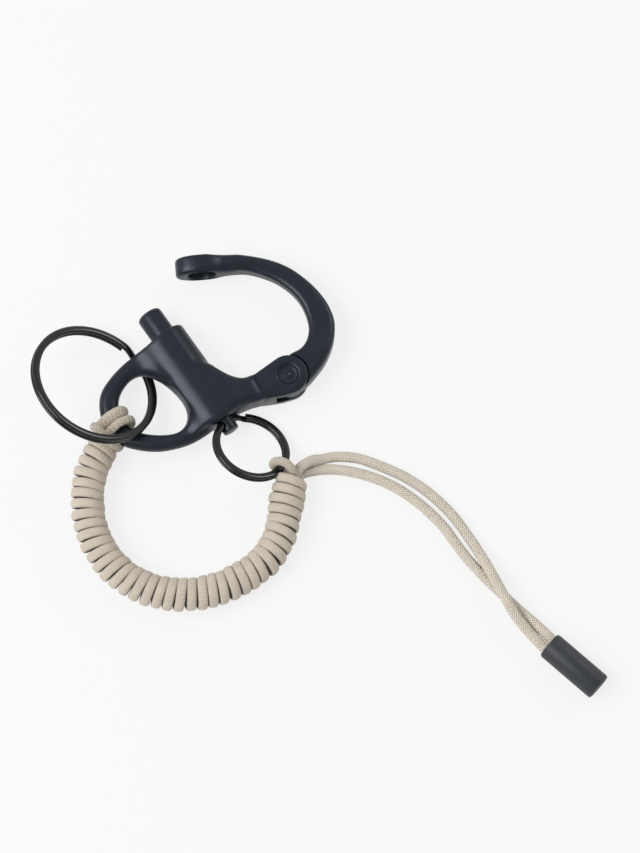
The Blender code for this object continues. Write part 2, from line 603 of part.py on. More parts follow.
def main():
    """Build every piece."""
    clear_scene()
    coated = material("coated_metal", (0.018, 0.019, 0.022), 0.38, 0.3)
    ring_coat = material("ring_coating", (0.012, 0.012, 0.014), 0.28, 0.5)
    steel = material("spring_steel", (0.45, 0.45, 0.46), 0.3, 1.0)
    elastic = material("woven_elastic", (0.60, 0.52, 0.42), 0.85)
    moulded = material("moulded_sleeve", (0.022, 0.024, 0.028), 0.5)
    make_shackle_body(coated)
    make_pivot_pin(coated)
    make_jaw(coated)
    make_plunger(coated)
    make_plunger_spring(steel)
    make_key_ring(ring_coat)
    make_pull_ring(ring_coat)
    make_cords(elastic)
    make_end_sleeve(moulded)


main()
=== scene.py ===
"""Looks of the elastic keyring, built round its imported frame.

Everything is in metres, in the frame of the part: the object lies on z = 0 with the shackle's
barrel along Y, the cord bail towards -X, the hinged jaw towards +X and the plunger's tip at +Y.
"""
from __future__ import annotations

import logging
import math
from dataclasses import dataclass, field
from enum import Enum
from typing import Iterable, Sequence

import bmesh
import bpy
from bmesh.types import BMEdge, BMesh, BMFace, BMVert
from bpy.types import Material, Node, NodeSocket, Object
from mathutils import Matrix, Vector
from mathutils.kdtree import KDTree


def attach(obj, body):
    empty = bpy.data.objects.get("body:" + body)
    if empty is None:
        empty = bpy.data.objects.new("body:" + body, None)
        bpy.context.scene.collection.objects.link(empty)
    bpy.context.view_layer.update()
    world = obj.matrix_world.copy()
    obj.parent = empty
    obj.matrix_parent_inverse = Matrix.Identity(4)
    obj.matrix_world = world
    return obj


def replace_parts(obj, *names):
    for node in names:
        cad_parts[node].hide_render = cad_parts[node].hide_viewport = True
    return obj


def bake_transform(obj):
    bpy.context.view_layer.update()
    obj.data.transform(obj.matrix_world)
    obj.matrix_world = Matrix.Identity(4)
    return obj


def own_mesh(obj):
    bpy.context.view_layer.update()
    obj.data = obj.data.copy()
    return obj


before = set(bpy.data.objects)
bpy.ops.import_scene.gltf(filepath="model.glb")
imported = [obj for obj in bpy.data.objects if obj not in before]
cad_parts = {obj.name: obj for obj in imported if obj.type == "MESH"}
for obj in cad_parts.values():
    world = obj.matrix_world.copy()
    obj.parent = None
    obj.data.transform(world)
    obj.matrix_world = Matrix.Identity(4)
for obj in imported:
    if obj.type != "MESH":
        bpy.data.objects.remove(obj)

LOG = logging.getLogger("keyring")
MM = 0.001
AXIS_Z = 4.25 * MM  # height of the barrel's axis
WELD = 0.002 * MM  # distance at which a turned solid's points merge
CAD_WELD = 0.001 * MM  # the same in the mesh of a CAD node
PLANE_SNAP = 0.0001 * MM  # distance from a plane at which a point lies on it
RIM_ANGLE = math.radians(60)  # least angle between the faces at a rounded rim
SMOOTH_FACTOR = 0.5
INNER_SHARE = 0.02  # how hollow an inner corner is at least, in voxels
OUTLINE_STEPS = 4  # stretches between two points of an outline
FACETS, FINE_FACETS, FINEST_FACETS = 64, 72, 96
Point = tuple[float, float, float]
Pair = tuple[float, float]
Pairs = tuple[Pair, ...]


class Body(str, Enum):
    """The moving bodies of the frame."""

    SHACKLE = "shackle"
    JAW = "jaw"
    PLUNGER = "plunger"
    PULL_RING = "pull_ring"
    KEY_RING = "key_ring"


class Slot(str, Enum):
    """The record's material slots."""

    METAL = "coated_metal"
    RING = "ring_coating"
    STEEL = "spring_steel"
    ELASTIC = "woven_elastic"
    SLEEVE = "moulded_sleeve"


class Cut(str, Enum):
    """How one solid changes another."""

    JOIN = "UNION"
    TAKE = "DIFFERENCE"


# ---- Mesh helpers ----------------------------------------------------------------------------


def smooth_line(points: Sequence[Point], steps: int, closed: bool = False) -> list[Vector]:
    """Points on a smooth curve through the given points.

    Args:
        points: the points to pass through.
        steps: how many stretches to make of each span.
        closed: whether the last point runs on into the first.

    Returns:
        The points, with both ends on an open line.
    """
    nodes = [Vector(point) for point in points]
    count = len(nodes)
    line = []
    for index in range(count if closed else count - 1):
        if closed:
            before, start, end, after = (nodes[(index + k) % count] for k in (-1, 0, 1, 2))
        else:
            before, start = nodes[max(index - 1, 0)], nodes[index]
            end, after = nodes[index + 1], nodes[min(index + 2, count - 1)]
        for step in range(steps):
            t = step / steps
            line.append(0.5 * (2 * start + (end - before) * t
                               + (2 * before - 5 * start + 4 * end - after) * t ** 2
                               + (3 * start - before - 3 * end + after) * t ** 3))
    if not closed:
        line.append(nodes[-1])
    return line


def even_line(points: Sequence[Vector], step: float) -> list[Vector]:
    """The same line with its points a fixed distance apart.

    Args:
        points: the line's points.
        step: the wished distance.

    Returns:
        Evenly spaced points from end to end.
    """
    lengths = [0.0]
    for before, after in zip(points, points[1:]):
        lengths.append(lengths[-1] + (after - before).length)
    count = max(2, round(lengths[-1] / step))
    line, index = [], 0
    for number in range(count + 1):
        place = lengths[-1] * number / count
        while index < len(points) - 2 and lengths[index + 1] < place:
            index += 1
        span = lengths[index + 1] - lengths[index] or 1.0
        line.append(points[index].lerp(points[index + 1], (place - lengths[index]) / span))
    return line


def line_length(points: Sequence[Vector]) -> float:
    """The length of a line of points."""
    return sum((after - before).length for before, after in zip(points, points[1:]))


def heading(line: Sequence[Vector], index: int, ahead: int = 1, behind: int = 1) -> Vector:
    """The direction of a line near one of its points."""
    return (line[min(index + ahead, len(line) - 1)] - line[max(index - behind, 0)]).normalized()


def clamp(value: float, low: float = 0.0, high: float = 1.0) -> float:
    """A value kept between two others."""
    return min(max(value, low), high)


def metres(*points: Sequence[float]) -> tuple[tuple[float, ...], ...]:
    """Points that are given in mm, in metres."""
    return tuple(tuple(value * MM for value in point) for point in points)


def near(radius: float, height: float, *steps: Pair) -> Pairs:
    """Points of a lathe's profile, each some steps in mm from one radius and height."""
    return tuple((radius + out * MM, height + up * MM) for out, up in steps)


def stretch(across: float, upward: float, power: float) -> float:
    """How far out a superellipse lies in a direction, where a circle lies at 1."""
    return (abs(across) ** power + abs(upward) ** power) ** (-1 / power)


def turned(degrees: float, axis: str) -> Matrix:
    """A turn about an axis through the origin."""
    return Matrix.Rotation(math.radians(degrees), 4, axis)


def only(items: Iterable, kind: type) -> list:
    """The items of one kind among those that an operator returns."""
    return [item for item in items if isinstance(item, kind)]


def move(work: BMesh, place: Matrix) -> None:
    """Move a whole bmesh."""
    bmesh.ops.transform(work, matrix=place, verts=work.verts)


def new_piece(name: str, work: BMesh) -> Object:
    """Make an object of a bmesh, with its place in its mesh.

    Args:
        name: the piece's name.
        work: the bmesh, which is freed.

    Returns:
        The new object.
    """
    mesh = bpy.data.meshes.new(name)
    work.to_mesh(mesh)
    work.free()
    piece = bpy.data.objects.new(name, mesh)
    bpy.context.scene.collection.objects.link(piece)
    return piece


def settle(piece: Object) -> None:
    """Turn a piece's modifiers into plain mesh.

    Args:
        piece: the piece.
    """
    bpy.context.view_layer.update()
    graph = bpy.context.evaluated_depsgraph_get()
    mesh = bpy.data.meshes.new_from_object(piece.evaluated_get(graph))
    old = piece.data
    piece.modifiers.clear()
    piece.data = mesh
    bpy.data.meshes.remove(old)


def combine(piece: Object, cut: Cut, tool: Object) -> None:
    """Join or cut a piece with another solid, which is then removed.

    Args:
        piece: the solid that stays.
        cut: what to do.
        tool: the other solid.
    """
    boolean = piece.modifiers.new(tool.name, "BOOLEAN")
    boolean.operation = cut.value
    boolean.solver = "EXACT"
    boolean.object = tool
    settle(piece)
    bpy.data.objects.remove(tool, do_unlink=True)


def round_rims(work: BMesh, width: float, segments: int) -> None:
    """Round the edges at which two faces meet at more than RIM_ANGLE.

    Args:
        work: the solid.
        width: the rounding's radius.
        segments: the facets of a rim.
    """
    rims = [edge for edge in work.edges if edge.is_manifold and edge.calc_face_angle() > RIM_ANGLE]
    bmesh.ops.bevel(work, geom=rims, offset=width, offset_type="OFFSET", segments=segments,
                    profile=0.5, affect="EDGES", clamp_overlap=False, material=-1)


def plate(outline: Sequence[Vector], hole: Sequence[Vector], low: float, high: float,
          rounding: float, segments: int = 5) -> BMesh:
    """A flat plate with rounded rims.

    Args:
        outline: the outer outline, in plan.
        hole: the hole's outline, or nothing.
        low: the height of the lower face.
        high: the height of the upper face.
        rounding: the radius of the rims.
        segments: the facets of a rim.

    Returns:
        The plate as a bmesh.
    """
    work = bmesh.new()
    for loop in filter(len, (outline, hole)):
        corners = [work.verts.new((point.x, point.y, low)) for point in loop]
        for index, corner in enumerate(corners):
            work.edges.new((corners[index - 1], corner))
    bmesh.ops.triangle_fill(work, use_beauty=True, use_dissolve=False, edges=work.edges[:])
    lifted = bmesh.ops.extrude_face_region(work, geom=work.faces[:])["geom"]
    bmesh.ops.translate(work, vec=(0, 0, high - low), verts=only(lifted, BMVert))
    bmesh.ops.recalc_face_normals(work, faces=work.faces)
    round_rims(work, rounding, segments)
    return work


def lathe(profile: Sequence[Pair], steps: int = FACETS) -> BMesh:
    """A solid turned about Z.

    Args:
        profile: (radius, height) pairs that start and end on the axis.
        steps: the facets round it.

    Returns:
        The solid as a bmesh.
    """
    work = bmesh.new()
    corners = [work.verts.new((radius, 0, height)) for radius, height in profile]
    edges = [work.edges.new(pair) for pair in zip(corners, corners[1:])]
    bmesh.ops.spin(work, geom=corners + edges, cent=(0, 0, 0), axis=(0, 0, 1), dvec=(0, 0, 0),
                   angle=2 * math.pi, steps=steps, use_merge=True, use_duplicate=False)
    bmesh.ops.remove_doubles(work, verts=work.verts, dist=WELD)
    bmesh.ops.recalc_face_normals(work, faces=work.faces)
    return work


def rod(name: str, radius: float, depth: float, place: Matrix, sides: int = FACETS) -> Object:
    """A plain cutter cylinder along Z of its place.

    Args:
        name: the cutter's name.
        radius: its radius.
        depth: its length.
        place: where its middle lies and how it is turned.
        sides: the facets round it.

    Returns:
        The cutter.
    """
    work = bmesh.new()
    bmesh.ops.create_cone(work, cap_ends=True, segments=sides, radius1=radius, radius2=radius,
                          depth=depth, matrix=place)
    return new_piece(name, work)


def block(name: str, low: Vector, high: Vector) -> Object:
    """A plain cutter box between two corners.

    Args:
        name: the cutter's name.
        low: the corner with the lowest values.
        high: the opposite corner.

    Returns:
        The cutter.
    """
    work = bmesh.new()
    size = high - low
    bmesh.ops.create_cube(work, size=1, matrix=Matrix.Translation((low + high) / 2)
                          @ Matrix.Diagonal((*size, 1)))
    return new_piece(name, work)


def gathered(name: str, works: Sequence[BMesh]) -> Object:
    """One object that holds several solids, which may overlap.

    Args:
        name: the object's name.
        works: the solids, which are freed.

    Returns:
        The object.
    """
    whole = bmesh.new()
    for work in works:
        mesh = bpy.data.meshes.new(name)
        work.to_mesh(mesh)
        work.free()
        whole.from_mesh(mesh)
        bpy.data.meshes.remove(mesh)
    return new_piece(name, whole)


def add_smoothing(piece: Object, name: str, passes: int, group: str = "") -> None:
    """Add a modifier that evens out a piece, or one group of its vertices.

    Args:
        piece: the piece.
        name: the modifier's name.
        passes: how often it runs.
        group: the group's name, or nothing for the whole piece.
    """
    smooth = piece.modifiers.new(name, "SMOOTH")
    smooth.factor = SMOOTH_FACTOR
    smooth.iterations = passes
    smooth.vertex_group = group


def inner_corners(piece: Object, depth: float) -> KDTree:
    """The places at which a piece's skin lies hollow by more than a depth.

    Args:
        piece: the piece.
        depth: the least depth that counts.

    Returns:
        A tree that finds the nearest of these places.
    """
    work = bmesh.new()
    work.from_mesh(piece.data)
    work.normal_update()
    inner = []
    for vertex in work.verts:
        middle = sum((edge.other_vert(vertex).co for edge in vertex.link_edges), Vector())
        middle /= len(vertex.link_edges)
        if (middle - vertex.co).dot(vertex.normal) > depth:
            inner.append(vertex.co.copy())
    work.free()
    tree = KDTree(len(inner))
    for index, place in enumerate(inner):
        tree.insert(place, index)
    tree.balance()
    return tree


def melt_together(piece: Object, voxel: float, first_passes: int, reach: float,
                  fillet_passes: int, last_passes: int) -> None:
    """Make one skin of overlapping solids, with cast fillets in its inner corners.

    Args:
        piece: the object that holds the solids.
        voxel: the size of the skin's facets.
        first_passes: passes that even out the whole skin.
        reach: how far from an inner corner a fillet spreads.
        fillet_passes: passes that fill the inner corners.
        last_passes: passes that even it out again.
    """
    remesh = piece.modifiers.new("skin", "REMESH")
    remesh.mode = "VOXEL"
    remesh.voxel_size = voxel
    add_smoothing(piece, "even", first_passes)
    settle(piece)
    tree = inner_corners(piece, INNER_SHARE * voxel)
    group = piece.vertex_groups.new(name="fillet")
    for vertex in piece.data.vertices:
        distance = tree.find(vertex.co)[2]
        if distance < reach:
            group.add([vertex.index], min(1.0, 2 * (1 - distance / reach)), "REPLACE")
    add_smoothing(piece, "fillet", fillet_passes, group.name)
    add_smoothing(piece, "last", last_passes)
    settle(piece)
    piece.vertex_groups.clear()


# ---- Finishes --------------------------------------------------------------------------------


class Wiring:
    """A material's node tree, with short ways to add and join nodes."""

    def __init__(self, name: str) -> None:
        """Start a material with a Principled shader.

        Args:
            name: the material's name.
        """
        self.material = bpy.data.materials.new(name)
        self.material.use_nodes = True
        self.tree = self.material.node_tree
        self.shader = self.tree.nodes["Principled BSDF"]

    def node(self, kind: str, **settings: object) -> Node:
        """Add a node of a kind, with its settings.

        Args:
            kind: the node's type.
            settings: its settings by name.

        Returns:
            The node.
        """
        made = self.tree.nodes.new(kind)
        for key, value in settings.items():
            setattr(made, key, value)
        return made

    def join(self, source: NodeSocket, target: NodeSocket) -> None:
        """Link one socket to another."""
        self.tree.links.new(source, target)

    def feed(self, target: NodeSocket, value: object) -> None:
        """Link a socket, or set it to a number or an opaque colour.

        Args:
            target: the socket.
            value: another socket, a number or a colour.
        """
        if isinstance(value, NodeSocket):
            self.join(value, target)
        else:
            target.default_value = (*value, 1.0) if isinstance(value, tuple) else value

    def math(self, operation: str, first: object, second: object = 0.0,
             clamped: bool = False) -> NodeSocket:
        """The result of a Math node, kept between 0 and 1 if clamped.

        Args:
            operation: the node's operation.
            first: its first socket or number.
            second: its second.
            clamped: whether the result is kept in range.

        Returns:
            The result's socket.
        """
        made = self.node("ShaderNodeMath", operation=operation, use_clamp=clamped)
        self.feed(made.inputs[0], first)
        self.feed(made.inputs[1], second)
        return made.outputs[0]

    def add(self, first: object, second: object) -> NodeSocket:
        """A sum."""
        return self.math("ADD", first, second)

    def times(self, first: object, second: object, clamped: bool = False) -> NodeSocket:
        """A product."""
        return self.math("MULTIPLY", first, second, clamped)

    def mix(self, share: object, first: object, second: object) -> NodeSocket:
        """A mix of two colours.

        Args:
            share: the second colour's share.
            first: the first colour.
            second: the second colour.

        Returns:
            The mixed colour's socket.
        """
        made = self.node("ShaderNodeMix", data_type="RGBA")
        self.feed(made.inputs["Factor"], share)
        self.feed(made.inputs[6], first)
        self.feed(made.inputs[7], second)
        return made.outputs[2]

    def noise(self, scale: float, detail: float) -> NodeSocket:
        """A noise on Object coordinates.

        Args:
            scale: its scale per metre.
            detail: its detail.

        Returns:
            The noise's socket.
        """
        made = self.node("ShaderNodeTexNoise")
        made.inputs["Scale"].default_value = scale
        made.inputs["Detail"].default_value = detail
        self.join(self.node("ShaderNodeTexCoord").outputs["Object"], made.inputs["Vector"])
        return made.outputs["Fac"]

    def span(self, value: NodeSocket, low: float, high: float) -> NodeSocket:
        """A value from 0 to 1 spread over a range.

        Args:
            value: the value's socket.
            low: the range's start.
            high: the range's end.

        Returns:
            The spread value's socket.
        """
        made = self.node("ShaderNodeMapRange")
        self.join(value, made.inputs["Value"])
        made.inputs["To Min"].default_value = low
        made.inputs["To Max"].default_value = high
        return made.outputs["Result"]

    def bump(self, height: NodeSocket, distance: float) -> None:
        """Raise the surface by a height.

        Args:
            height: the height's socket.
            distance: how far a height of 1 rises.
        """
        made = self.node("ShaderNodeBump")
        made.inputs["Distance"].default_value = distance
        made.inputs["Strength"].default_value = 1.0
        self.join(height, made.inputs["Height"])
        self.join(made.outputs[0], self.shader.inputs["Normal"])

    def put(self, **values: object) -> None:
        """Set or link sockets of the shader; an underscore stands for a space."""
        for key, value in values.items():
            self.feed(self.shader.inputs[key.replace("_", " ")], value)


@dataclass(frozen=True)
class CoatedMetal:
    """Satin black coating on cast or turned metal, with a fine orange-peel grain.

    Noises are given as their scale per metre and their detail, here and in the other finishes.
    """

    name: str = "coated metal"
    colour: Point = (0.0060, 0.0090, 0.0145)
    pale: Point = (0.0090, 0.0125, 0.0190)
    specular: float = 0.38
    tint: Point = (0.86, 0.92, 1.0)
    roughness: Pair = (0.31, 0.40)
    cloud: Pair = (260.0, 4.0)
    grain: Pair = (4200.0, 2.0)
    fine: Pair = (13020.0, 2.0)
    rough_shares: Pair = (0.6, 0.4)
    fine_height: float = 0.35
    grain_height: float = 0.010 * MM

    def material(self) -> Material:
        """Build the material.

        Returns:
            The material.
        """
        wires = Wiring(self.name)
        cloud = wires.noise(*self.cloud)
        grain = wires.noise(*self.grain)
        fine = wires.noise(*self.fine)
        dull = wires.add(wires.times(cloud, self.rough_shares[0]),
                         wires.times(fine, self.rough_shares[1]))
        wires.put(Base_Color=wires.mix(cloud, self.colour, self.pale),
                  Specular_IOR_Level=self.specular, Specular_Tint=self.tint,
                  Roughness=wires.span(dull, *self.roughness))
        wires.bump(wires.add(grain, wires.times(fine, self.fine_height)), self.grain_height)
        return wires.material


@dataclass(frozen=True)
class RingCoating:
    """Glossy black coating on flat ring wire, with a faint speckle."""

    name: str = "ring coating"
    colour: Point = (0.0040, 0.0045, 0.0055)
    worn: Point = (0.0080, 0.0085, 0.0100)
    roughness: Pair = (0.11, 0.20)
    cloud: Pair = (420.0, 3.0)
    speck: Pair = (9000.0, 2.0)
    speck_lift: float = 0.5
    speck_height: float = 0.006 * MM

    def material(self) -> Material:
        """Build the material.

        Returns:
            The material.
        """
        wires = Wiring(self.name)
        cloud = wires.noise(*self.cloud)
        speck = wires.noise(*self.speck)
        dull = wires.times(cloud, wires.add(speck, self.speck_lift))
        wires.put(Base_Color=wires.mix(cloud, self.colour, self.worn),
                  Roughness=wires.span(dull, *self.roughness))
        wires.bump(speck, self.speck_height)
        return wires.material


@dataclass(frozen=True)
class GrainedFinish:
    """A plain finish whose grain sets its roughness and its height."""

    name: str
    colour: Point
    other: Point
    roughness: Pair
    grain: Pair
    grain_height: float
    cloud: Pair | None = None
    metallic: float = 0.0

    def material(self) -> Material:
        """Build the material; without a cloud the grain mixes the two colours as well.

        Returns:
            The material.
        """
        wires = Wiring(self.name)
        grain = wires.noise(*self.grain)
        cloud = wires.noise(*self.cloud) if self.cloud else grain
        wires.put(Base_Color=wires.mix(cloud, self.colour, self.other), Metallic=self.metallic,
                  Roughness=wires.span(grain, *self.roughness))
        wires.bump(grain, self.grain_height)
        return wires.material


SPRING_STEEL = GrainedFinish("spring steel", (0.46, 0.46, 0.47), (0.34, 0.34, 0.36), (0.22, 0.40),
                             (5000.0, 3.0), 0.006 * MM, metallic=1.0)
MOULDED_SLEEVE = GrainedFinish("moulded sleeve", (0.017, 0.020, 0.025), (0.024, 0.028, 0.033),
                               (0.44, 0.58), (7000.0, 2.0), 0.012 * MM, cloud=(500.0, 4.0))


@dataclass(frozen=True)
class WovenElastic:
    """Braided cover of an elastic cord: two sets of yarns that pass over and under."""

    name: str = "woven elastic"
    yarn: Point = (0.700, 0.622, 0.515)
    # shade: a darker yarn colour, mixed in at random by the cloud and also used as painted shade in
    # the dips between the yarns' crowns
    shade: Point = (0.520, 0.456, 0.366)
    # painted shade in the gaps between the yarns
    gap_shade: Point = (0.130, 0.098, 0.066)
    # painted shade on the sides of a wrapped turn, where it touches the next turn
    contact_shade: Point = (0.060, 0.040, 0.024)
    contact_shade_share: float = 0.0
    contact_shade_span: Pair = (0.78, 0.93)
    carriers: int = 12
    yarn_length: float = 0.74 * MM
    yarn_height: float = 0.16 * MM
    crown_power: float = 0.6
    # how strong the gaps' painted shade is, and how soon it comes in as a yarn's crown falls away
    gap_shade_share: float = 0.85
    gap_shade_slope: float = 1.9
    cloud: Pair = (600.0, 3.0)
    fibre: Pair = (14000.0, 2.0)
    fibre_height: float = 0.35
    roughness: float = 0.86
    sheen: Pair = (0.2, 0.5)

    def material(self) -> Material:
        """Build the material from the piece's `along` and `round` attributes.

        Returns:
            The material.
        """
        wires = Wiring(self.name)
        along = wires.node("ShaderNodeAttribute", attribute_name="along").outputs["Fac"]
        around = wires.node("ShaderNodeAttribute", attribute_name="round").outputs["Vector"]
        split = wires.node("ShaderNodeSeparateXYZ")
        wires.join(around, split.inputs[0])
        turn = wires.times(wires.math("ARCTAN2", split.outputs["Y"], split.outputs["X"]),
                           self.carriers / (2 * math.pi))
        run = wires.times(along, 1 / self.yarn_length)
        ways = wires.add(run, turn), wires.math("SUBTRACT", run, turn)
        over = wires.math("PINGPONG", wires.add(*(wires.math("FLOOR", way) for way in ways)), 1.0)
        heights = []
        for way in ways:
            wave = wires.math("SINE", wires.times(wires.math("FRACT", way), math.pi))
            heights.append(wires.math("POWER", wires.math("ABSOLUTE", wave), self.crown_power))
        upper = wires.add(wires.times(heights[0], over),
                          wires.times(heights[1], wires.math("SUBTRACT", 1.0, over)))
        fibre = wires.noise(*self.fibre)
        body = wires.mix(wires.noise(*self.cloud), self.shade, self.yarn)
        # Painted shade: each yarn fades to the darker colour in the dips between its crowns.
        lit = wires.mix(wires.times(upper, 1.0, clamped=True), self.shade, body)
        # Painted shade: the gaps between the yarns darken where their crowns fall away.
        edge = wires.math("SUBTRACT", 1.0, wires.times(upper, self.gap_shade_slope, clamped=True))
        woven = wires.mix(wires.times(edge, self.gap_shade_share), lit, self.gap_shade)
        # Painted shade: the sides of a wrapped turn that face its neighbours are darkened.
        if self.contact_shade_share:
            side = wires.node("ShaderNodeMapRange", interpolation_type="SMOOTHSTEP")
            wires.join(wires.math("ABSOLUTE", split.outputs["X"]), side.inputs["Value"])
            for end, value in zip(("From Min", "From Max", "To Max"),
                                  (*self.contact_shade_span, self.contact_shade_share)):
                side.inputs[end].default_value = value
            woven = wires.mix(side.outputs["Result"], woven, self.contact_shade)
        wires.put(Base_Color=woven, Roughness=self.roughness, Sheen_Weight=self.sheen[0],
                  Sheen_Roughness=self.sheen[1])
        wires.bump(wires.add(upper, wires.times(fibre, self.fibre_height)), self.yarn_height)
        return wires.material


@dataclass(frozen=True)
class PaleFloor:
    """The plain pale surface that the keyring lies on."""

    name: str = "pale floor"
    colour: Point = (0.930, 0.930, 0.930)
    roughness: float = 0.9
    glow_share: float = 0.86

    def material(self) -> Material:
        """Build a floor that shows its colour to the camera and keeps a soft shadow.

        Returns:
            The material.
        """
        wires = Wiring(self.name)
        wires.put(Base_Color=self.colour, Roughness=self.roughness)
        rays = wires.node("ShaderNodeLightPath")
        seen = wires.math("MAXIMUM", rays.outputs["Is Camera Ray"], rays.outputs["Is Glossy Ray"])
        glow = wires.node("ShaderNodeEmission")
        wires.feed(glow.inputs["Color"], self.colour)
        blend = wires.node("ShaderNodeMixShader")
        wires.join(wires.times(seen, self.glow_share), blend.inputs[0])
        wires.join(wires.shader.outputs[0], blend.inputs[1])
        wires.join(glow.outputs[0], blend.inputs[2])
        wires.join(blend.outputs[0], wires.tree.nodes["Material Output"].inputs["Surface"])
        return wires.material


@dataclass
class Finishes:
    """Every finish of the keyring, each built once."""

    metal: Material = field(default_factory=lambda: CoatedMetal().material())
    ring: Material = field(default_factory=lambda: RingCoating().material())
    steel: Material = field(default_factory=SPRING_STEEL.material)
    elastic: Material = field(default_factory=lambda: WovenElastic().material())
    # The tails' finish is a lighter copy of the cord's finish: painted light, not a different cord
    # colour.
    painted_lighter: Material = field(default_factory=lambda: WovenElastic(
        name="slack elastic", yarn=(0.800, 0.730, 0.625), shade=(0.610, 0.545, 0.450)).material())
    # The wrapped run's finish: painted shade where its turns touch, and a lighter painted shade in
    # its yarn gaps.
    wrapped: Material = field(default_factory=lambda: WovenElastic(
        name="wrapped elastic", gap_shade=(0.310, 0.255, 0.190), contact_shade_share=0.9, carriers=16,
        yarn_length=0.62 * MM, yarn_height=0.10 * MM).material())
    sleeve: Material = field(default_factory=MOULDED_SLEEVE.material)


def dress(piece: Object, finish: Material, sharp_degrees: float = 40.0) -> Object:
    """Shade a piece and give it its finish.

    Args:
        piece: the piece.
        finish: its material.
        sharp_degrees: the angle from which its edges stay sharp.

    Returns:
        The piece.
    """
    piece.data.shade_smooth()
    piece.data.set_sharp_from_angle(angle=math.radians(sharp_degrees))
    piece.data.materials.clear()
    piece.data.materials.append(finish)
    return piece


# ---- Shackle ---------------------------------------------------------------------------------


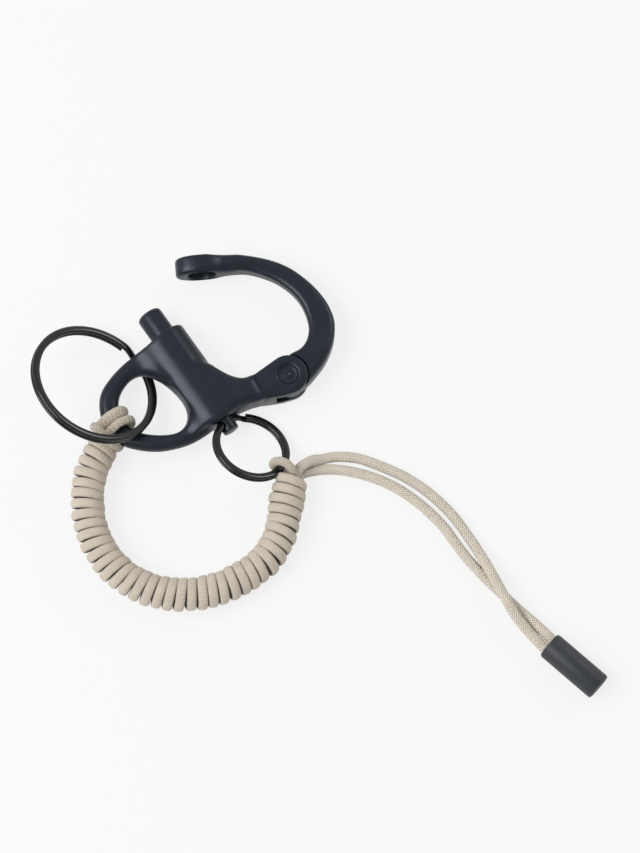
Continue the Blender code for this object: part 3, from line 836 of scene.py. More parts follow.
@dataclass
class Shackle:
    """The casting with its barrel, cord bail, neck and fork, and the rivet in the fork.

    Outlines in plan are shares: the bail's of its reach and the barrel's length, the neck's of the
    pivot's place, and the ear's of its radius, from the pivot. neck_heights holds places in mm
    with shares of the neck's thickness.
    """

    finishes: Finishes
    axis_z: float = AXIS_Z
    barrel_radius: float = 4.4 * MM
    barrel_length: float = 22.9 * MM
    barrel_short: float = 0.5 * MM
    barrel_rim: float = 0.5 * MM
    bail_reach: float = 21.3 * MM
    bail_thickness: float = 3.6 * MM
    bail_rounding: float = 1.7 * MM
    pivot: Vector = field(default_factory=lambda: Vector((16.15, -11.42, 4.25)) * MM)
    neck_thickness: float = 8.4 * MM
    neck_heights: Pairs = ((3.4, 1.0), (4.6, 0.975), (6.0, 0.925), (7.4, 0.885), (8.2, 0.875),
                           (8.8, 0.89), (9.3, 0.92), (9.8, 0.935), (12.5, 0.935))
    neck_rounding: float = 1.6 * MM
    ear_radius: float = 4.15 * MM
    ear_thickness: float = 6.3 * MM
    ear_extra: float = 0.02 * MM
    ear_rim: float = 0.28 * MM
    ear_from_degrees: float = 95.0
    ear_sweep_degrees: float = 205.0
    ear_steps: int = 32
    step_place: Vector = field(default_factory=lambda: Vector((9.75, -10.6, 0.0)) * MM)
    step_turn_degrees: float = -12.4
    step_slope_degrees: float = 52.0
    step_lift: float = 0.01 * MM
    step_reach: Vector = field(default_factory=lambda: Vector((12, 8, 8)) * MM)
    slot_width: float = 3.4 * MM
    slot_back: float = 4.75 * MM
    plunger_bore: float = 2.85 * MM
    plunger_bore_floor: float = 4.0 * MM
    spring_floor_y: float = -7.15 * MM
    spring_keep: float = 0.363
    stem_bore: float = 2.05 * MM
    pin_bore: float = 1.7 * MM
    recess_radius: float = 2.05 * MM
    recess_depth: float = 0.62 * MM
    rivet_top: float = 2.78 * MM
    rivet_head: float = 2.03 * MM
    rivet_shank: float = 1.4 * MM
    overrun: float = 2.0 * MM
    slope_profile: Pairs = (
        (0.0, 4.25), (-1.1, 4.25), (-1.5, 4.225), (-1.9, 4.18), (-2.3, 4.105), (-2.7, 4.005),
        (-3.1, 3.88), (-3.5, 3.73), (-3.9, 3.555), (-4.3, 3.355), (-4.7, 3.13), (-5.1, 2.88),
        (-5.6, 2.60), (-6.2, 2.30), (-6.9, 2.04), (-7.5, 1.88))
    slope_toe_x: float = -4.5
    slope_reach: Pairs = (
        (-10.7, -7.5), (-8.6, -7.5), (-7.4, -6.3), (-5.9, -5.15), (-3.7, -4.85), (-1.0, -4.9),
        (2.3, -5.4), (4.7, -6.4), (7.2, -7.5), (10.7, -7.5))
    bail_outer_shares: Pairs = (
        (-0.110, 0.360), (0.141, 0.485), (0.305, 0.485), (0.446, 0.472), (0.587, 0.450),
        (0.728, 0.410), (0.836, 0.358), (0.915, 0.279), (0.972, 0.175), (1.000, 0.057),
        (1.000, -0.044), (0.958, -0.162), (0.850, -0.284), (0.714, -0.389), (0.563, -0.459),
        (0.413, -0.503), (0.258, -0.518), (0.117, -0.504), (-0.110, -0.360))
    bail_hole_shares: Pairs = (
        (0.756, 0.179), (0.681, 0.249), (0.563, 0.297), (0.465, 0.301), (0.394, 0.271),
        (0.338, 0.205), (0.282, 0.100), (0.244, -0.044), (0.239, -0.162), (0.268, -0.258),
        (0.329, -0.323), (0.418, -0.349), (0.516, -0.323), (0.638, -0.249), (0.742, -0.153),
        (0.803, -0.039), (0.808, 0.074))
    neck_shares: Pairs = (
        (-0.124, 0.310), (0.124, 0.180), (0.262, -0.010), (0.290, -0.120), (0.332, -0.255),
        (0.402, -0.430), (0.508, -0.578), (0.700, -0.668), (0.740, -0.790), (0.720, -0.990),
        (0.685, -1.120), (0.600, -1.130), (0.508, -1.105), (0.390, -1.045), (0.272, -1.010),
        (0.124, -0.980), (-0.124, -0.850))
    ear_tail_shares: Pairs = (
        (-0.880, -0.766), (-1.578, -0.429), (-1.916, -0.236), (-1.916, 0.920), (-1.386, 0.957),
        (-0.759, 0.981))

    def slope(self) -> BMesh:
        """The slope from the barrel's flats down to the bail, which stops short of its hole.

        slope_profile holds (x, half height) and slope_reach (y, x of the toe), all in mm. Beyond
        slope_toe_x the profile is shortened so that it ends where slope_reach says.

        Returns:
            The solid, to be melted into the casting.
        """
        work = bmesh.new()
        start = self.slope_reach[0][0] * MM
        half = [(x * MM, z * MM) for x, z in self.slope_profile]
        rim = [work.verts.new((x, start, z)) for x, z in half]
        rim += [work.verts.new((x, start, -z)) for x, z in reversed(half)]
        faces = [work.faces.new(rim)]
        for (before, _), (after, _) in zip(self.slope_reach, self.slope_reach[1:]):
            moved = bmesh.ops.extrude_face_region(work, geom=faces)["geom"]
            faces = only(moved, BMFace)
            bmesh.ops.translate(work, vec=(0, (after - before) * MM, 0), verts=only(moved, BMVert))
        toe, last = self.slope_toe_x, self.slope_profile[-1][0]
        reach = {round(y, 3): x for y, x in self.slope_reach}
        for vertex in work.verts:
            past = vertex.co.x / MM - toe
            if past < 0:
                end = reach[round(vertex.co.y / MM, 3)]
                vertex.co.x = (toe + past * (end - toe) / (last - toe)) * MM
        bmesh.ops.recalc_face_normals(work, faces=work.faces)
        bmesh.ops.translate(work, vec=(0, 0, self.axis_z), verts=work.verts)
        return work

    def barrel(self) -> BMesh:
        """The round barrel with its flats above and below.

        Returns:
            The solid, to be melted into the casting.
        """
        work = bmesh.new()
        place = Matrix.Translation((0, -self.barrel_short / 2, self.axis_z)) @ turned(90, "X")
        bmesh.ops.create_cone(work, cap_ends=True, segments=FINE_FACETS, radius1=self.barrel_radius,
                              radius2=self.barrel_radius, matrix=place,
                              depth=self.barrel_length - self.barrel_short)
        for vertex in work.verts:
            vertex.co.z = clamp(vertex.co.z, high=2 * self.axis_z)
        round_rims(work, self.barrel_rim, segments=3)
        return work

    def slab(self, outline: Sequence[Vector], hole: Sequence[Vector], thickness: float,
             rounding: float, segments: int = 5) -> BMesh:
        """A plate whose middle lies at the height of the barrel's axis."""
        return plate(outline, hole, self.axis_z - thickness / 2, self.axis_z + thickness / 2,
                     rounding, segments)

    def bail(self) -> BMesh:
        """The flat loop for the cord and the key ring.

        Returns:
            The solid, to be melted into the casting.
        """
        outer, hole = (smooth_line([(-self.bail_reach * sx, self.barrel_length * sy, 0)
                                    for sx, sy in shares], OUTLINE_STEPS, True)
                       for shares in (self.bail_outer_shares, self.bail_hole_shares))
        return self.slab(outer, hole, self.bail_thickness, self.bail_rounding, segments=7)

    def neck(self) -> BMesh:
        """The arm between the barrel and the fork.

        Returns:
            The solid, to be melted into the casting.
        """
        outline = smooth_line([(self.pivot.x * sx, -self.pivot.y * sy, 0)
                               for sx, sy in self.neck_shares], OUTLINE_STEPS, True)
        work = self.slab(outline, (), self.neck_thickness, self.neck_rounding)
        for x, _ in self.neck_heights:
            bmesh.ops.bisect_plane(work, geom=[*work.verts, *work.edges, *work.faces],
                                   dist=PLANE_SNAP, plane_co=(x * MM, 0, 0), plane_no=(1, 0, 0))
        for vertex in work.verts:
            height = vertex.co.z - self.axis_z
            vertex.co.z = self.axis_z + height * self.neck_share(vertex.co.x / MM)
        return work

    def neck_share(self, x: float) -> float:
        """How much of the full thickness the neck has at x, in mm.

        Args:
            x: the place along X, in mm.

        Returns:
            The share.
        """
        first, last = self.neck_heights[0], self.neck_heights[-1]
        if x <= first[0]:
            return first[1]
        for (start, before), (end, after) in zip(self.neck_heights, self.neck_heights[1:]):
            if x <= end:
                return before + (after - before) * (x - start) / (end - start)
        return last[1]

    def ear(self) -> BMesh:
        """The fork's block, before it is slotted.

        Returns:
            The solid, to be joined to the casting.
        """
        outline = []
        for step in range(self.ear_steps + 1):
            angle = math.radians(self.ear_from_degrees
                                 - self.ear_sweep_degrees * step / self.ear_steps)
            outline.append((math.cos(angle), math.sin(angle)))
        outline = [self.pivot + self.ear_radius * Vector((sx, sy, 0))
                   for sx, sy in (*outline, *self.ear_tail_shares)]
        half = self.ear_thickness / 2 + self.ear_extra
        return plate(outline, (), self.axis_z - half, self.axis_z + half, self.ear_rim,
                     segments=3)

    def cutters(self) -> list[Object]:
        """The fork's slot, the bores and the rivet's recesses.

        Returns:
            The solids to take away.
        """
        reach = self.ear_radius + self.overrun
        half_slot = Vector((0, 0, self.slot_width / 2))
        tools = [block("fork_slot", self.pivot - Vector((self.slot_back, reach, 0)) - half_slot,
                       self.pivot + Vector((reach, reach, 0)) + half_slot)]
        upright = Matrix.Translation((0, 0, self.axis_z)) @ turned(90, "X")
        tools.append(rod("stem_bore", self.stem_bore, self.barrel_length + self.overrun, upright))
        floor = -self.barrel_length / 2 + self.plunger_bore_floor
        depth = self.barrel_length / 2 - floor + self.overrun
        tools.append(rod("plunger_bore", self.plunger_bore, depth,
                         Matrix.Translation((0, floor + depth / 2, 0)) @ upright))
        tools.append(rod("pin_bore", self.pin_bore, self.ear_thickness + self.overrun,
                         Matrix.Translation(self.pivot)))
        low = self.ear_thickness / 2 - self.recess_depth
        top = self.ear_thickness / 2 + self.overrun
        profile = ((0.0, low), *near(self.recess_radius, low, (0, 0), (0, 0.22), (0.06, 0.34),
                                     (0.2, 0.5), (0.38, 0.61), (0.5, 0.65)),
                   *near(self.recess_radius, top, (0.5, 0)), (0.0, top))
        for degrees in (0, 180):
            dish = lathe(profile, FINE_FACETS)
            move(dish, Matrix.Translation(self.pivot) @ turned(degrees, "X"))
            tools.append(new_piece("recess", dish))
        return tools

    def step_cutters(self) -> list[Object]:
        """Slanted blocks that end the neck in a chamfer above and below the fork.

        Returns:
            The solids to take away.
        """
        tools = []
        reach = self.step_reach
        for side in (1, -1):
            height = self.axis_z + side * (self.ear_thickness / 2 + self.step_lift)
            tool = block("step", Vector((-reach.x, -reach.y, 0)), reach)
            tool.data.transform(Matrix.Translation(self.step_place + Vector((0, 0, height)))
                                @ turned(self.step_turn_degrees, "Z")
                                @ turned(side * self.step_slope_degrees, "Y")
                                @ turned(180 if side < 0 else 0, "X"))
            tools.append(tool)
        return tools

    def casting(self) -> Object:
        """Build the shackle body.

        Returns:
            The piece.
        """
        body = gathered("shackle_casting", (self.barrel(), self.slope(), self.bail(), self.neck()))
        melt_together(body, voxel=0.2 * MM, first_passes=3, reach=1.9 * MM, fillet_passes=70,
                      last_passes=3)
        for tool in self.step_cutters():
            combine(body, Cut.TAKE, tool)
        combine(body, Cut.JOIN, new_piece("ear", self.ear()))
        for tool in self.cutters():
            combine(body, Cut.TAKE, tool)
        dress(body, self.finishes.metal)
        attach(body, Body.SHACKLE.value)
        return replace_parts(body, "shackle_body")

    def rivet(self) -> Object:
        """Build the rivet with its domed heads.

        Returns:
            The piece.
        """
        top = self.rivet_top
        half = (*near(0.0, top, (0, -0.16), (0.16, -0.12), (0.34, 0.02), (0.6, 0.06), (1.0, -0.02),
                      (1.35, -0.08), (1.65, -0.04), (1.9, 0.06)),
                *near(self.rivet_head, top, (0, 0.06), (0, -0.2)),
                *near(self.rivet_shank, top, (0, -0.2)))
        work = lathe((*half, *((radius, -height) for radius, height in reversed(half))))
        bmesh.ops.translate(work, vec=self.pivot, verts=work.verts)
        pin = dress(new_piece("pivot_rivet", work), self.finishes.metal)
        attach(pin, Body.SHACKLE.value)
        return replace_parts(pin, "pivot_pin")

    def spring(self) -> Object:
        """Build the plunger's spring from the CAD node's mesh.

        Returns:
            The piece.
        """
        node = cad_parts["plunger_spring"]
        work = bmesh.new()
        work.from_mesh(node.data)
        move(work, node.matrix_world)
        bmesh.ops.remove_doubles(work, verts=work.verts, dist=CAD_WELD)
        bmesh.ops.recalc_face_normals(work, faces=work.faces)
        spring = dress(new_piece("compression_spring", work), self.finishes.steel)
        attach(spring, Body.SHACKLE.value)
        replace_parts(spring, "plunger_spring")
        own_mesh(spring)
        return spring

    def build(self) -> list[Object]:
        """Build every piece of the shackle."""
        return [self.casting(), self.rivet(), self.spring()]


@dataclass
class Jaw:
    """The hook with its shoulder, tongue and latch eye, drawn closed and then turned open.

    The outline starts from the pivot, in shares of the pivot's x and of the jaw's rise. The arm
    thins as it rises (thin_share, thin_from, thin_over) and keeps its thickness at the tip.
    """

    finishes: Finishes
    shackle: Shackle
    open_degrees: float = 30.0
    rise: float = 25.37 * MM
    thickness: float = 5.4 * MM
    rounding: float = 1.3 * MM
    thin_share: float = 0.27
    thin_from: float = 4.5 * MM
    thin_over: float = 9.0 * MM
    thick_from_x: float = 0.0
    tip_from: float = 18 * MM
    tip_over: float = 4.5 * MM
    tongue_radius: float = 4.0 * MM
    tongue_thickness: float = 2.8 * MM
    shoulder_clearance: float = 0.37 * MM
    eye_depth: float = 3.95 * MM
    eye_out: float = 0.33 * MM
    eye_width: float = 11.0 * MM
    eye_height: float = 7.4 * MM
    eye_rim: float = 0.7 * MM
    eye_hole: float = 2.9 * MM
    eye_oval_power: float = 2.4
    outer_shares: Pairs = (
        (-1.211, 1.074), (-1.000, 1.082), (-0.814, 1.094), (-0.486, 1.079), (-0.115, 1.018),
        (0.152, 0.931), (0.381, 0.799), (0.536, 0.670), (0.628, 0.548), (0.666, 0.418),
        (0.622, 0.256), (0.511, 0.111), (0.393, 0.017), (0.263, -0.066), (0.139, -0.121),
        (0.028, -0.082), (-0.015, 0.056), (0.015, 0.158), (0.077, 0.194))
    inner_shares: Pairs = (
        (0.195, 0.229), (0.288, 0.304), (0.325, 0.418), (0.288, 0.552), (0.201, 0.670),
        (0.059, 0.772), (-0.139, 0.862), (-0.430, 0.935), (-0.690, 0.936), (-0.907, 0.928),
        (-1.124, 0.932), (-1.241, 0.985))

    def hook(self) -> BMesh:
        """The curved arm, with the pivot at the origin.

        Returns:
            The solid, to be melted together with the eye.
        """
        pivot_x = self.shackle.pivot.x
        outline = smooth_line([(pivot_x * sx, self.rise * sy, 0)
                               for sx, sy in self.outer_shares + self.inner_shares],
                              OUTLINE_STEPS, True)
        work = plate(outline, (), -self.thickness / 2, self.thickness / 2, self.rounding)
        for vertex in work.verts:
            rise = clamp((vertex.co.y - self.thin_from) / self.thin_over)
            tip = (clamp((self.thick_from_x - vertex.co.x) / self.thin_over)
                   * clamp((vertex.co.y - self.tip_from) / self.tip_over))
            vertex.co.z *= 1 - self.thin_share * rise * (1 - tip)
        return work

    def eye(self) -> BMesh:
        """The oval block that closes over the plunger's tip.

        Returns:
            The solid, to be melted together with the hook.
        """
        outline = []
        for step in range(FACETS):
            angle = 2 * math.pi * step / FACETS
            cosine, sine = math.cos(angle), math.sin(angle)
            out = stretch(cosine, sine, self.eye_oval_power)
            outline.append(Vector((self.eye_width / 2 * cosine * out,
                                   self.eye_height / 2 * sine * out, 0)))
        work = plate(outline, (), -self.eye_depth / 2, self.eye_depth / 2, self.eye_rim)
        move(work, self.eye_place())
        return work

    def eye_place(self) -> Matrix:
        """Where the eye's middle lies while the jaw is drawn closed."""
        return (Matrix.Translation((-self.shackle.pivot.x, self.rise + self.eye_out, 0))
                @ turned(90, "X"))

    def eye_cutter(self) -> Object:
        """The eye's hole with its rounded rims.

        Returns:
            The solid to take away.
        """
        hole, half = self.eye_hole, self.eye_depth / 2
        work = lathe(((0.0, self.eye_depth), *near(hole, self.eye_depth, (0.9, 0)),
                      *near(hole, half, (0.55, 0.02), (0.18, -0.15), (0, -0.5)),
                      *near(hole, -half, (0, 0.5), (0.18, 0.15), (0.55, -0.02)),
                      *near(hole, -self.eye_depth, (0.9, 0)), (0.0, -self.eye_depth)))
        move(work, self.eye_place())
        return new_piece("eye_hole", work)

    def build(self) -> list[Object]:
        """Build the jaw, open as it lies.

        Returns:
            The piece, in a list.
        """
        jaw = gathered("hook_jaw", (self.hook(), self.eye()))
        melt_together(jaw, voxel=0.18 * MM, first_passes=3, reach=3.2 * MM, fillet_passes=130,
                      last_passes=2)
        seat = self.shackle.ear_radius + self.shoulder_clearance
        for side in (1, -1):
            height = side * (self.tongue_thickness / 2 + self.thickness / 2)
            combine(jaw, Cut.TAKE, rod("seat", seat, self.thickness,
                                       Matrix.Translation((0, 0, height)), FINEST_FACETS))
        half = self.tongue_thickness / 2 + WELD
        tongue = lathe(((0.0, -half), (self.tongue_radius, -half), (self.tongue_radius, half),
                        (0.0, half)), FINEST_FACETS)
        combine(jaw, Cut.JOIN, new_piece("tongue", tongue))
        combine(jaw, Cut.TAKE, rod("pin_bore", self.shackle.pin_bore, 2 * self.thickness,
                                   Matrix.Identity(4)))
        combine(jaw, Cut.TAKE, self.eye_cutter())
        jaw.data.transform(Matrix.Translation(self.shackle.pivot) @ turned(-self.open_degrees, "Z"))
        dress(jaw, self.finishes.metal)
        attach(jaw, Body.JAW.value)
        return [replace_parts(jaw, "jaw")]


@dataclass
class Plunger:
    """The latch pin: its head, its shoulder and the stem with the pull ring's hole."""

    finishes: Finishes
    axis_z: float = AXIS_Z
    tip_y: float = 16.85 * MM
    shoulder_y: float = 1.0 * MM
    stem_end_y: float = -14.15 * MM
    radius: float = 2.7 * MM
    stem_radius: float = 1.75 * MM
    hole_y: float = -12.4 * MM
    hole_radius: float = 1.3 * MM
    hole_depth: float = 8 * MM
    hole_facets: int = 48
    roll_degrees: float = 29.0

    def build(self) -> list[Object]:
        """Build the plunger.

        Returns:
            The piece, in a list.
        """
        tip, end, head, stem = self.tip_y, self.stem_end_y, self.radius, self.stem_radius
        profile = ((0.0, tip), *near(head, tip, (-0.62, 0), (-0.42, -0.08), (-0.12, -0.38),
                                     (0, -0.7)),
                   (head, self.shoulder_y), (stem, self.shoulder_y),
                   *near(stem, end, (0, 0.35), (-0.1, 0.1), (-0.35, 0)), (0.0, end))
        work = lathe(profile, FINE_FACETS)
        move(work, Matrix.Translation((0, 0, self.axis_z)) @ turned(-90, "X"))
        plunger = new_piece("latch_plunger", work)
        place = (Matrix.Translation((0, self.hole_y, self.axis_z))
                 @ turned(90 + self.roll_degrees, "Y"))
        combine(plunger, Cut.TAKE, rod("stem_hole", self.hole_radius, self.hole_depth, place,
                                       self.hole_facets))
        dress(plunger, self.finishes.metal)
        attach(plunger, Body.PLUNGER.value)
        return [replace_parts(plunger, "plunger")]


@dataclass
class SplitRing:
    """A split ring: flat wire in two turns that lie on each other, joined by a short step."""

    finishes: Finishes
    name: str
    node: str
    body: Body
    radius: float
    width: float
    turn_height: float
    centre: Pair
    cut_degrees: float
    place: Matrix
    turn_gap: float = 0.05 * MM
    power: float = 2.3
    step_degrees: float = 18.0
    step_parts: int = 10
    turn_parts: int = 96
    section_facets: int = 20
    sharp_degrees: float = 50.0

    def section(self, work: BMesh) -> list:
        """Add the wire's section, standing at the start of the lower turn.

        Args:
            work: the bmesh that it is added to.

        Returns:
            Everything in the section, to be spun.
        """
        low = -(self.turn_height + self.turn_gap) / 2
        for vertex in bmesh.ops.create_circle(work, cap_ends=True, segments=self.section_facets,
                                              radius=1)["verts"]:
            vertex.co *= stretch(vertex.co.x, vertex.co.y, self.power)
        move(work, Matrix.Translation((*self.centre, 0)) @ turned(self.cut_degrees, "Z")
             @ Matrix.Translation((self.radius, 0, low)) @ turned(90, "X")
             @ Matrix.Diagonal((self.width / 2, self.turn_height / 2, 1, 1)))
        return work.verts[:] + work.edges[:] + work.faces[:]

    def build(self) -> list[Object]:
        """Build the ring.

        Returns:
            The piece, in a list.
        """
        work = bmesh.new()
        last = self.section(work)
        rise = self.turn_height + self.turn_gap
        turn = (360 - self.step_degrees, self.turn_parts, 0.0)
        shares = (number / self.step_parts for number in range(self.step_parts + 1))
        eases = [t * t * (3 - 2 * t) for t in shares]
        step = [(self.step_degrees / self.step_parts, 1, rise * (after - before))
                for before, after in zip(eases, eases[1:])]
        for degrees, parts, lift in (turn, *step, turn):
            last = bmesh.ops.spin(work, geom=last, cent=(*self.centre, 0), axis=(0, 0, 1),
                                  dvec=(0, 0, lift), angle=math.radians(degrees), steps=parts,
                                  use_merge=False, use_duplicate=False)["geom_last"]
        bmesh.ops.recalc_face_normals(work, faces=work.faces)
        move(work, self.place)
        ring = dress(new_piece(self.name, work), self.finishes.ring, self.sharp_degrees)
        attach(ring, self.body.value)
        return [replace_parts(ring, self.node)]


def make_key_ring(finishes: Finishes) -> SplitRing:
    """The large ring on the bail's far limb.

    Args:
        finishes: the keyring's finishes.

    Returns:
        The ring, not yet built.
    """
    place = Matrix.Translation((-11.8002 * MM, 8.702 * MM, AXIS_Z)) @ turned(33.3, "Y")
    return SplitRing(finishes, "large_split_ring", "key_ring", Body.KEY_RING, radius=13.3 * MM,
                     width=1.62 * MM, turn_height=0.92 * MM, centre=(-7.78 * MM, 0.85 * MM),
                     cut_degrees=22.0, place=place)


def make_pull_ring(finishes: Finishes) -> SplitRing:
    """The small ring through the plunger's stem.

    Args:
        finishes: the keyring's finishes.

    Returns:
        The ring, not yet built.
    """
    place = (Matrix.Translation((0.2 * MM, -12.2 * MM, AXIS_Z)) @ turned(29, "Y") @ turned(5, "Z")
             @ turned(-7, "X"))
    return SplitRing(finishes, "small_split_ring", "pull_ring", Body.PULL_RING, radius=7.6 * MM,
                     width=1.5 * MM, turn_height=0.78 * MM, centre=(0.0, -7.35 * MM),
                     cut_degrees=73.0, place=place)


# ---- Elastic cord ----------------------------------------------------------------------------


@dataclass
class Strand:
    """A stretch of cord swept along a line. It notes how far along and round each point is."""

    name: str
    line: list[Vector]
    sides: list[Vector]
    half_width: float
    half_height: float
    power: float = 2.0
    facets: int = 16
    sharp_degrees: float = 60.0

    def build(self, finish: Material) -> Object:
        """Sweep the section by extruding its rim from one station to the next.

        Args:
            finish: the strand's finish.

        Returns:
            The strand, dressed.
        """
        work = bmesh.new()
        along = work.verts.layers.float.new("along")
        around = work.verts.layers.float_vector.new("round")
        ring = bmesh.ops.create_circle(work, cap_ends=True, segments=self.facets, radius=1)["verts"]
        angles = [math.atan2(vertex.co.y, vertex.co.x) for vertex in ring]
        edges, gone = work.edges[:], 0.0
        for index, middle in enumerate(self.line):
            if index:
                gone += (middle - self.line[index - 1]).length
                placed = set(ring)
                made = bmesh.ops.extrude_edge_only(work, edges=edges)["geom"]
                edges = only(made, BMEdge)
                follow = {}
                for vertex in only(made, BMVert):
                    for edge in vertex.link_edges:
                        other = edge.other_vert(vertex)
                        if other in placed:
                            follow[other] = vertex
                ring = [follow[vertex] for vertex in ring]
            tangent = heading(self.line, index)
            out = self.sides[index] - tangent * self.sides[index].dot(tangent)
            out.normalize()
            across = tangent.cross(out)
            for vertex, angle in zip(ring, angles):
                cosine, sine = math.cos(angle), math.sin(angle)
                far = stretch(cosine, sine, self.power)
                vertex.co = (middle + across * (self.half_width * cosine * far)
                             + out * (self.half_height * sine * far))
                vertex[along] = gone
                vertex[around] = (cosine, sine, 0)
        bmesh.ops.contextual_create(work, geom=edges)
        bmesh.ops.recalc_face_normals(work, faces=work.faces)
        return dress(new_piece(self.name, work), finish, self.sharp_degrees)


@dataclass
class ElasticCord:
    """The one elastic cord: hitch on the bail, wrapped run, loop on the ring and two tails.

    The wrapped run's turns count from the bail. Its waves, in radians a turn, make neighbouring
    turns differ a little: in their place (sway), their slant (lean) and their radius (swell).
    """

    finishes: Finishes
    diameter: float = 2.15 * MM
    coil_turns: int = 38
    coil_radius: float = 2.52 * MM
    coil_split_turn: float = 20.0
    coil_start_turn: float = 0.1
    coil_end_turn: float = 38.2
    coil_sway: float = 0.06 * MM
    coil_lean: float = 0.08 * MM
    coil_swell: float = 0.11 * MM
    coil_tuck: float = 0.7 * MM
    coil_head: float = 0.35 * MM
    sway_waves: Pair = (2.399, 0.731)
    lean_wave: float = 1.37
    swell_waves: Pairs = ((1.93, 0.6), (3.71, 0.0))
    head_turns: float = 2.2
    head_spread: float = 1.8
    start_tuck_turns: float = 0.9
    end_tuck_turns: float = 0.1
    end_tuck_spread: float = 0.3
    coil_wide: float = 0.985
    coil_thick: float = 0.92
    coil_power: float = 3.0
    coil_facets: int = 20
    core_radius: float = 1.35 * MM
    core_facets: int = 12
    stations_per_turn: int = 28
    free_spans: int = 8
    free_step: float = 0.28 * MM
    core_spans: int = 12
    core_step: float = 0.4 * MM
    free_up: Vector = field(default_factory=lambda: Vector((0.12, 0.08, 1.0)))
    hitch_route: tuple[Point, ...] = metres(
        (-24.91, -0.53, 3.9), (-23.95, 0.15, 4.1), (-23.1, 1.0, 4.7), (-22.4, 1.6, 5.6),
        (-21.82, 1.9, 6.55), (-19.9, 2.1, 7.45), (-18.6, 2.1, 7.45), (-16.95, 2.1, 6.65),
        (-16.4, 2.0, 5.2), (-16.25, 2.0, 3.3), (-16.8, 2.0, 1.9), (-18.6, 2.1, 1.25),
        (-20.2, 2.4, 1.2), (-21.9, 3.0, 1.8), (-22.5, 2.9, 3.1), (-22.9, 2.7, 4.8),
        (-23.0, 2.1, 6.3), (-22.9, 1.2, 7.4), (-23.0, 0.4, 7.8), (-22.6, -1.0, 7.7),
        (-22.2, -2.3, 7.0), (-21.7, -2.8, 5.7), (-21.4, -3.1, 4.0), (-20.9, -2.6, 2.2),
        (-20.0, -1.6, 1.25), (-18.5, -0.7, 1.25), (-16.8, -0.2, 1.9), (-16.25, -0.2, 3.3),
        (-16.4, -0.2, 5.2), (-16.95, -0.1, 6.65), (-18.6, 0.0, 7.45), (-19.9, -0.1, 7.45),
        (-21.82, -0.3, 6.4), (-22.5, -0.7, 5.5), (-22.9, -1.2, 4.7), (-23.2, -1.7, 4.1),
        (-23.71, -2.36, 3.8))
    coil_route: tuple[Point, ...] = metres(
        (-22.8, -0.7, 3.7), (-29.0, -4.5, 3.7), (-32.6, -8.6, 3.7), (-35.2, -13.3, 3.7),
        (-36.6, -19.3, 3.7), (-36.1, -25.7, 3.7), (-33.1, -32.0, 3.7), (-28.0, -36.9, 3.7),
        (-22.1, -39.8, 3.7), (-16.3, -40.9, 3.7), (-9.8, -40.6, 3.7), (-4.3, -37.9, 3.7),
        (-0.3, -34.0, 3.7), (4.1, -29.7, 3.7))
    loop_route: tuple[Point, ...] = metres(
        (4.0, -29.0, 2.6), (4.15, -28.2, 2.35), (4.0, -27.3, 2.4), (3.55, -26.4, 2.75),
        (3.05, -25.6, 3.6), (2.85, -25.1, 4.8), (3.1, -25.05, 5.95), (3.75, -25.4, 6.75),
        (4.45, -26.1, 7.05), (5.0, -27.1, 6.9), (5.25, -28.2, 6.3), (5.1, -29.1, 5.4),
        (4.75, -29.8, 4.4))
    tail_a_route: tuple[Point, ...] = metres(
        (4.8, -30.0, 3.9), (5.6, -29.3, 4.0), (6.4, -28.9, 4.0), (7.5, -28.6, 3.9),
        (8.9, -28.5, 3.4), (10.5, -28.6, 2.6), (12.3, -29.3, 1.6), (14.2, -30.0, 1.2),
        (16.4, -31.4, 1.1), (18.9, -33.7, 1.1), (21.8, -37.9, 1.1), (24.4, -42.5, 1.1),
        (26.4, -47.9, 1.1), (27.6, -54.2, 1.1), (27.7, -60.0, 1.2), (27.4, -64.7, 1.8),
        (26.8, -69.5, 3.0), (26.0, -75.2, 3.6), (25.6, -80.2, 3.2), (26.0, -85.0, 2.9),
        (26.6, -88.9, 2.9), (27.5, -92.7, 2.9), (28.4, -96.6, 2.9))
    tail_b_route: tuple[Point, ...] = metres(
        (5.0, -30.4, 2.6), (5.9, -29.9, 2.3), (7.2, -29.6, 1.9), (9.0, -30.1, 1.4),
        (11.05, -31.05, 1.15), (13.2, -32.5, 1.1), (15.7, -34.8, 1.1), (18.6, -38.3, 1.1),
        (21.3, -42.8, 1.1), (23.3, -48.2, 1.1), (24.6, -54.6, 1.1), (24.7, -60.0, 1.1),
        (24.8, -64.0, 1.1), (25.4, -69.0, 1.1), (26.2, -73.5, 1.1), (27.0, -78.0, 1.2),
        (27.8, -82.0, 1.8), (28.4, -85.5, 2.6), (28.9, -88.4, 2.9), (29.8, -92.2, 2.9),
        (30.7, -96.1, 2.9))

    def free_strand(self, name: str, route: Sequence[Point], finish: Material, wide: float = 1.01,
                    thick: float = 0.98, power: float = 2.1) -> tuple[Object, list[Vector]]:
        """A stretch that isn't wrapped.

        Args:
            name: the piece's name.
            route: the points that it passes through.
            finish: its finish.
            wide: its width as a share of the cord's diameter.
            thick: its thickness as a share of the cord's diameter.
            power: how square its section is, from 2, round.

        Returns:
            The piece and its centreline.
        """
        line = even_line(smooth_line(route, self.free_spans), self.free_step)
        side, sides = self.free_up, []
        for index in range(len(line)):
            tangent = heading(line, index)
            side = (side - tangent * side.dot(tangent)).normalized()
            sides.append(side.copy())
        half = self.diameter / 2
        return Strand(name, line, sides, half * wide, half * thick, power).build(finish), line

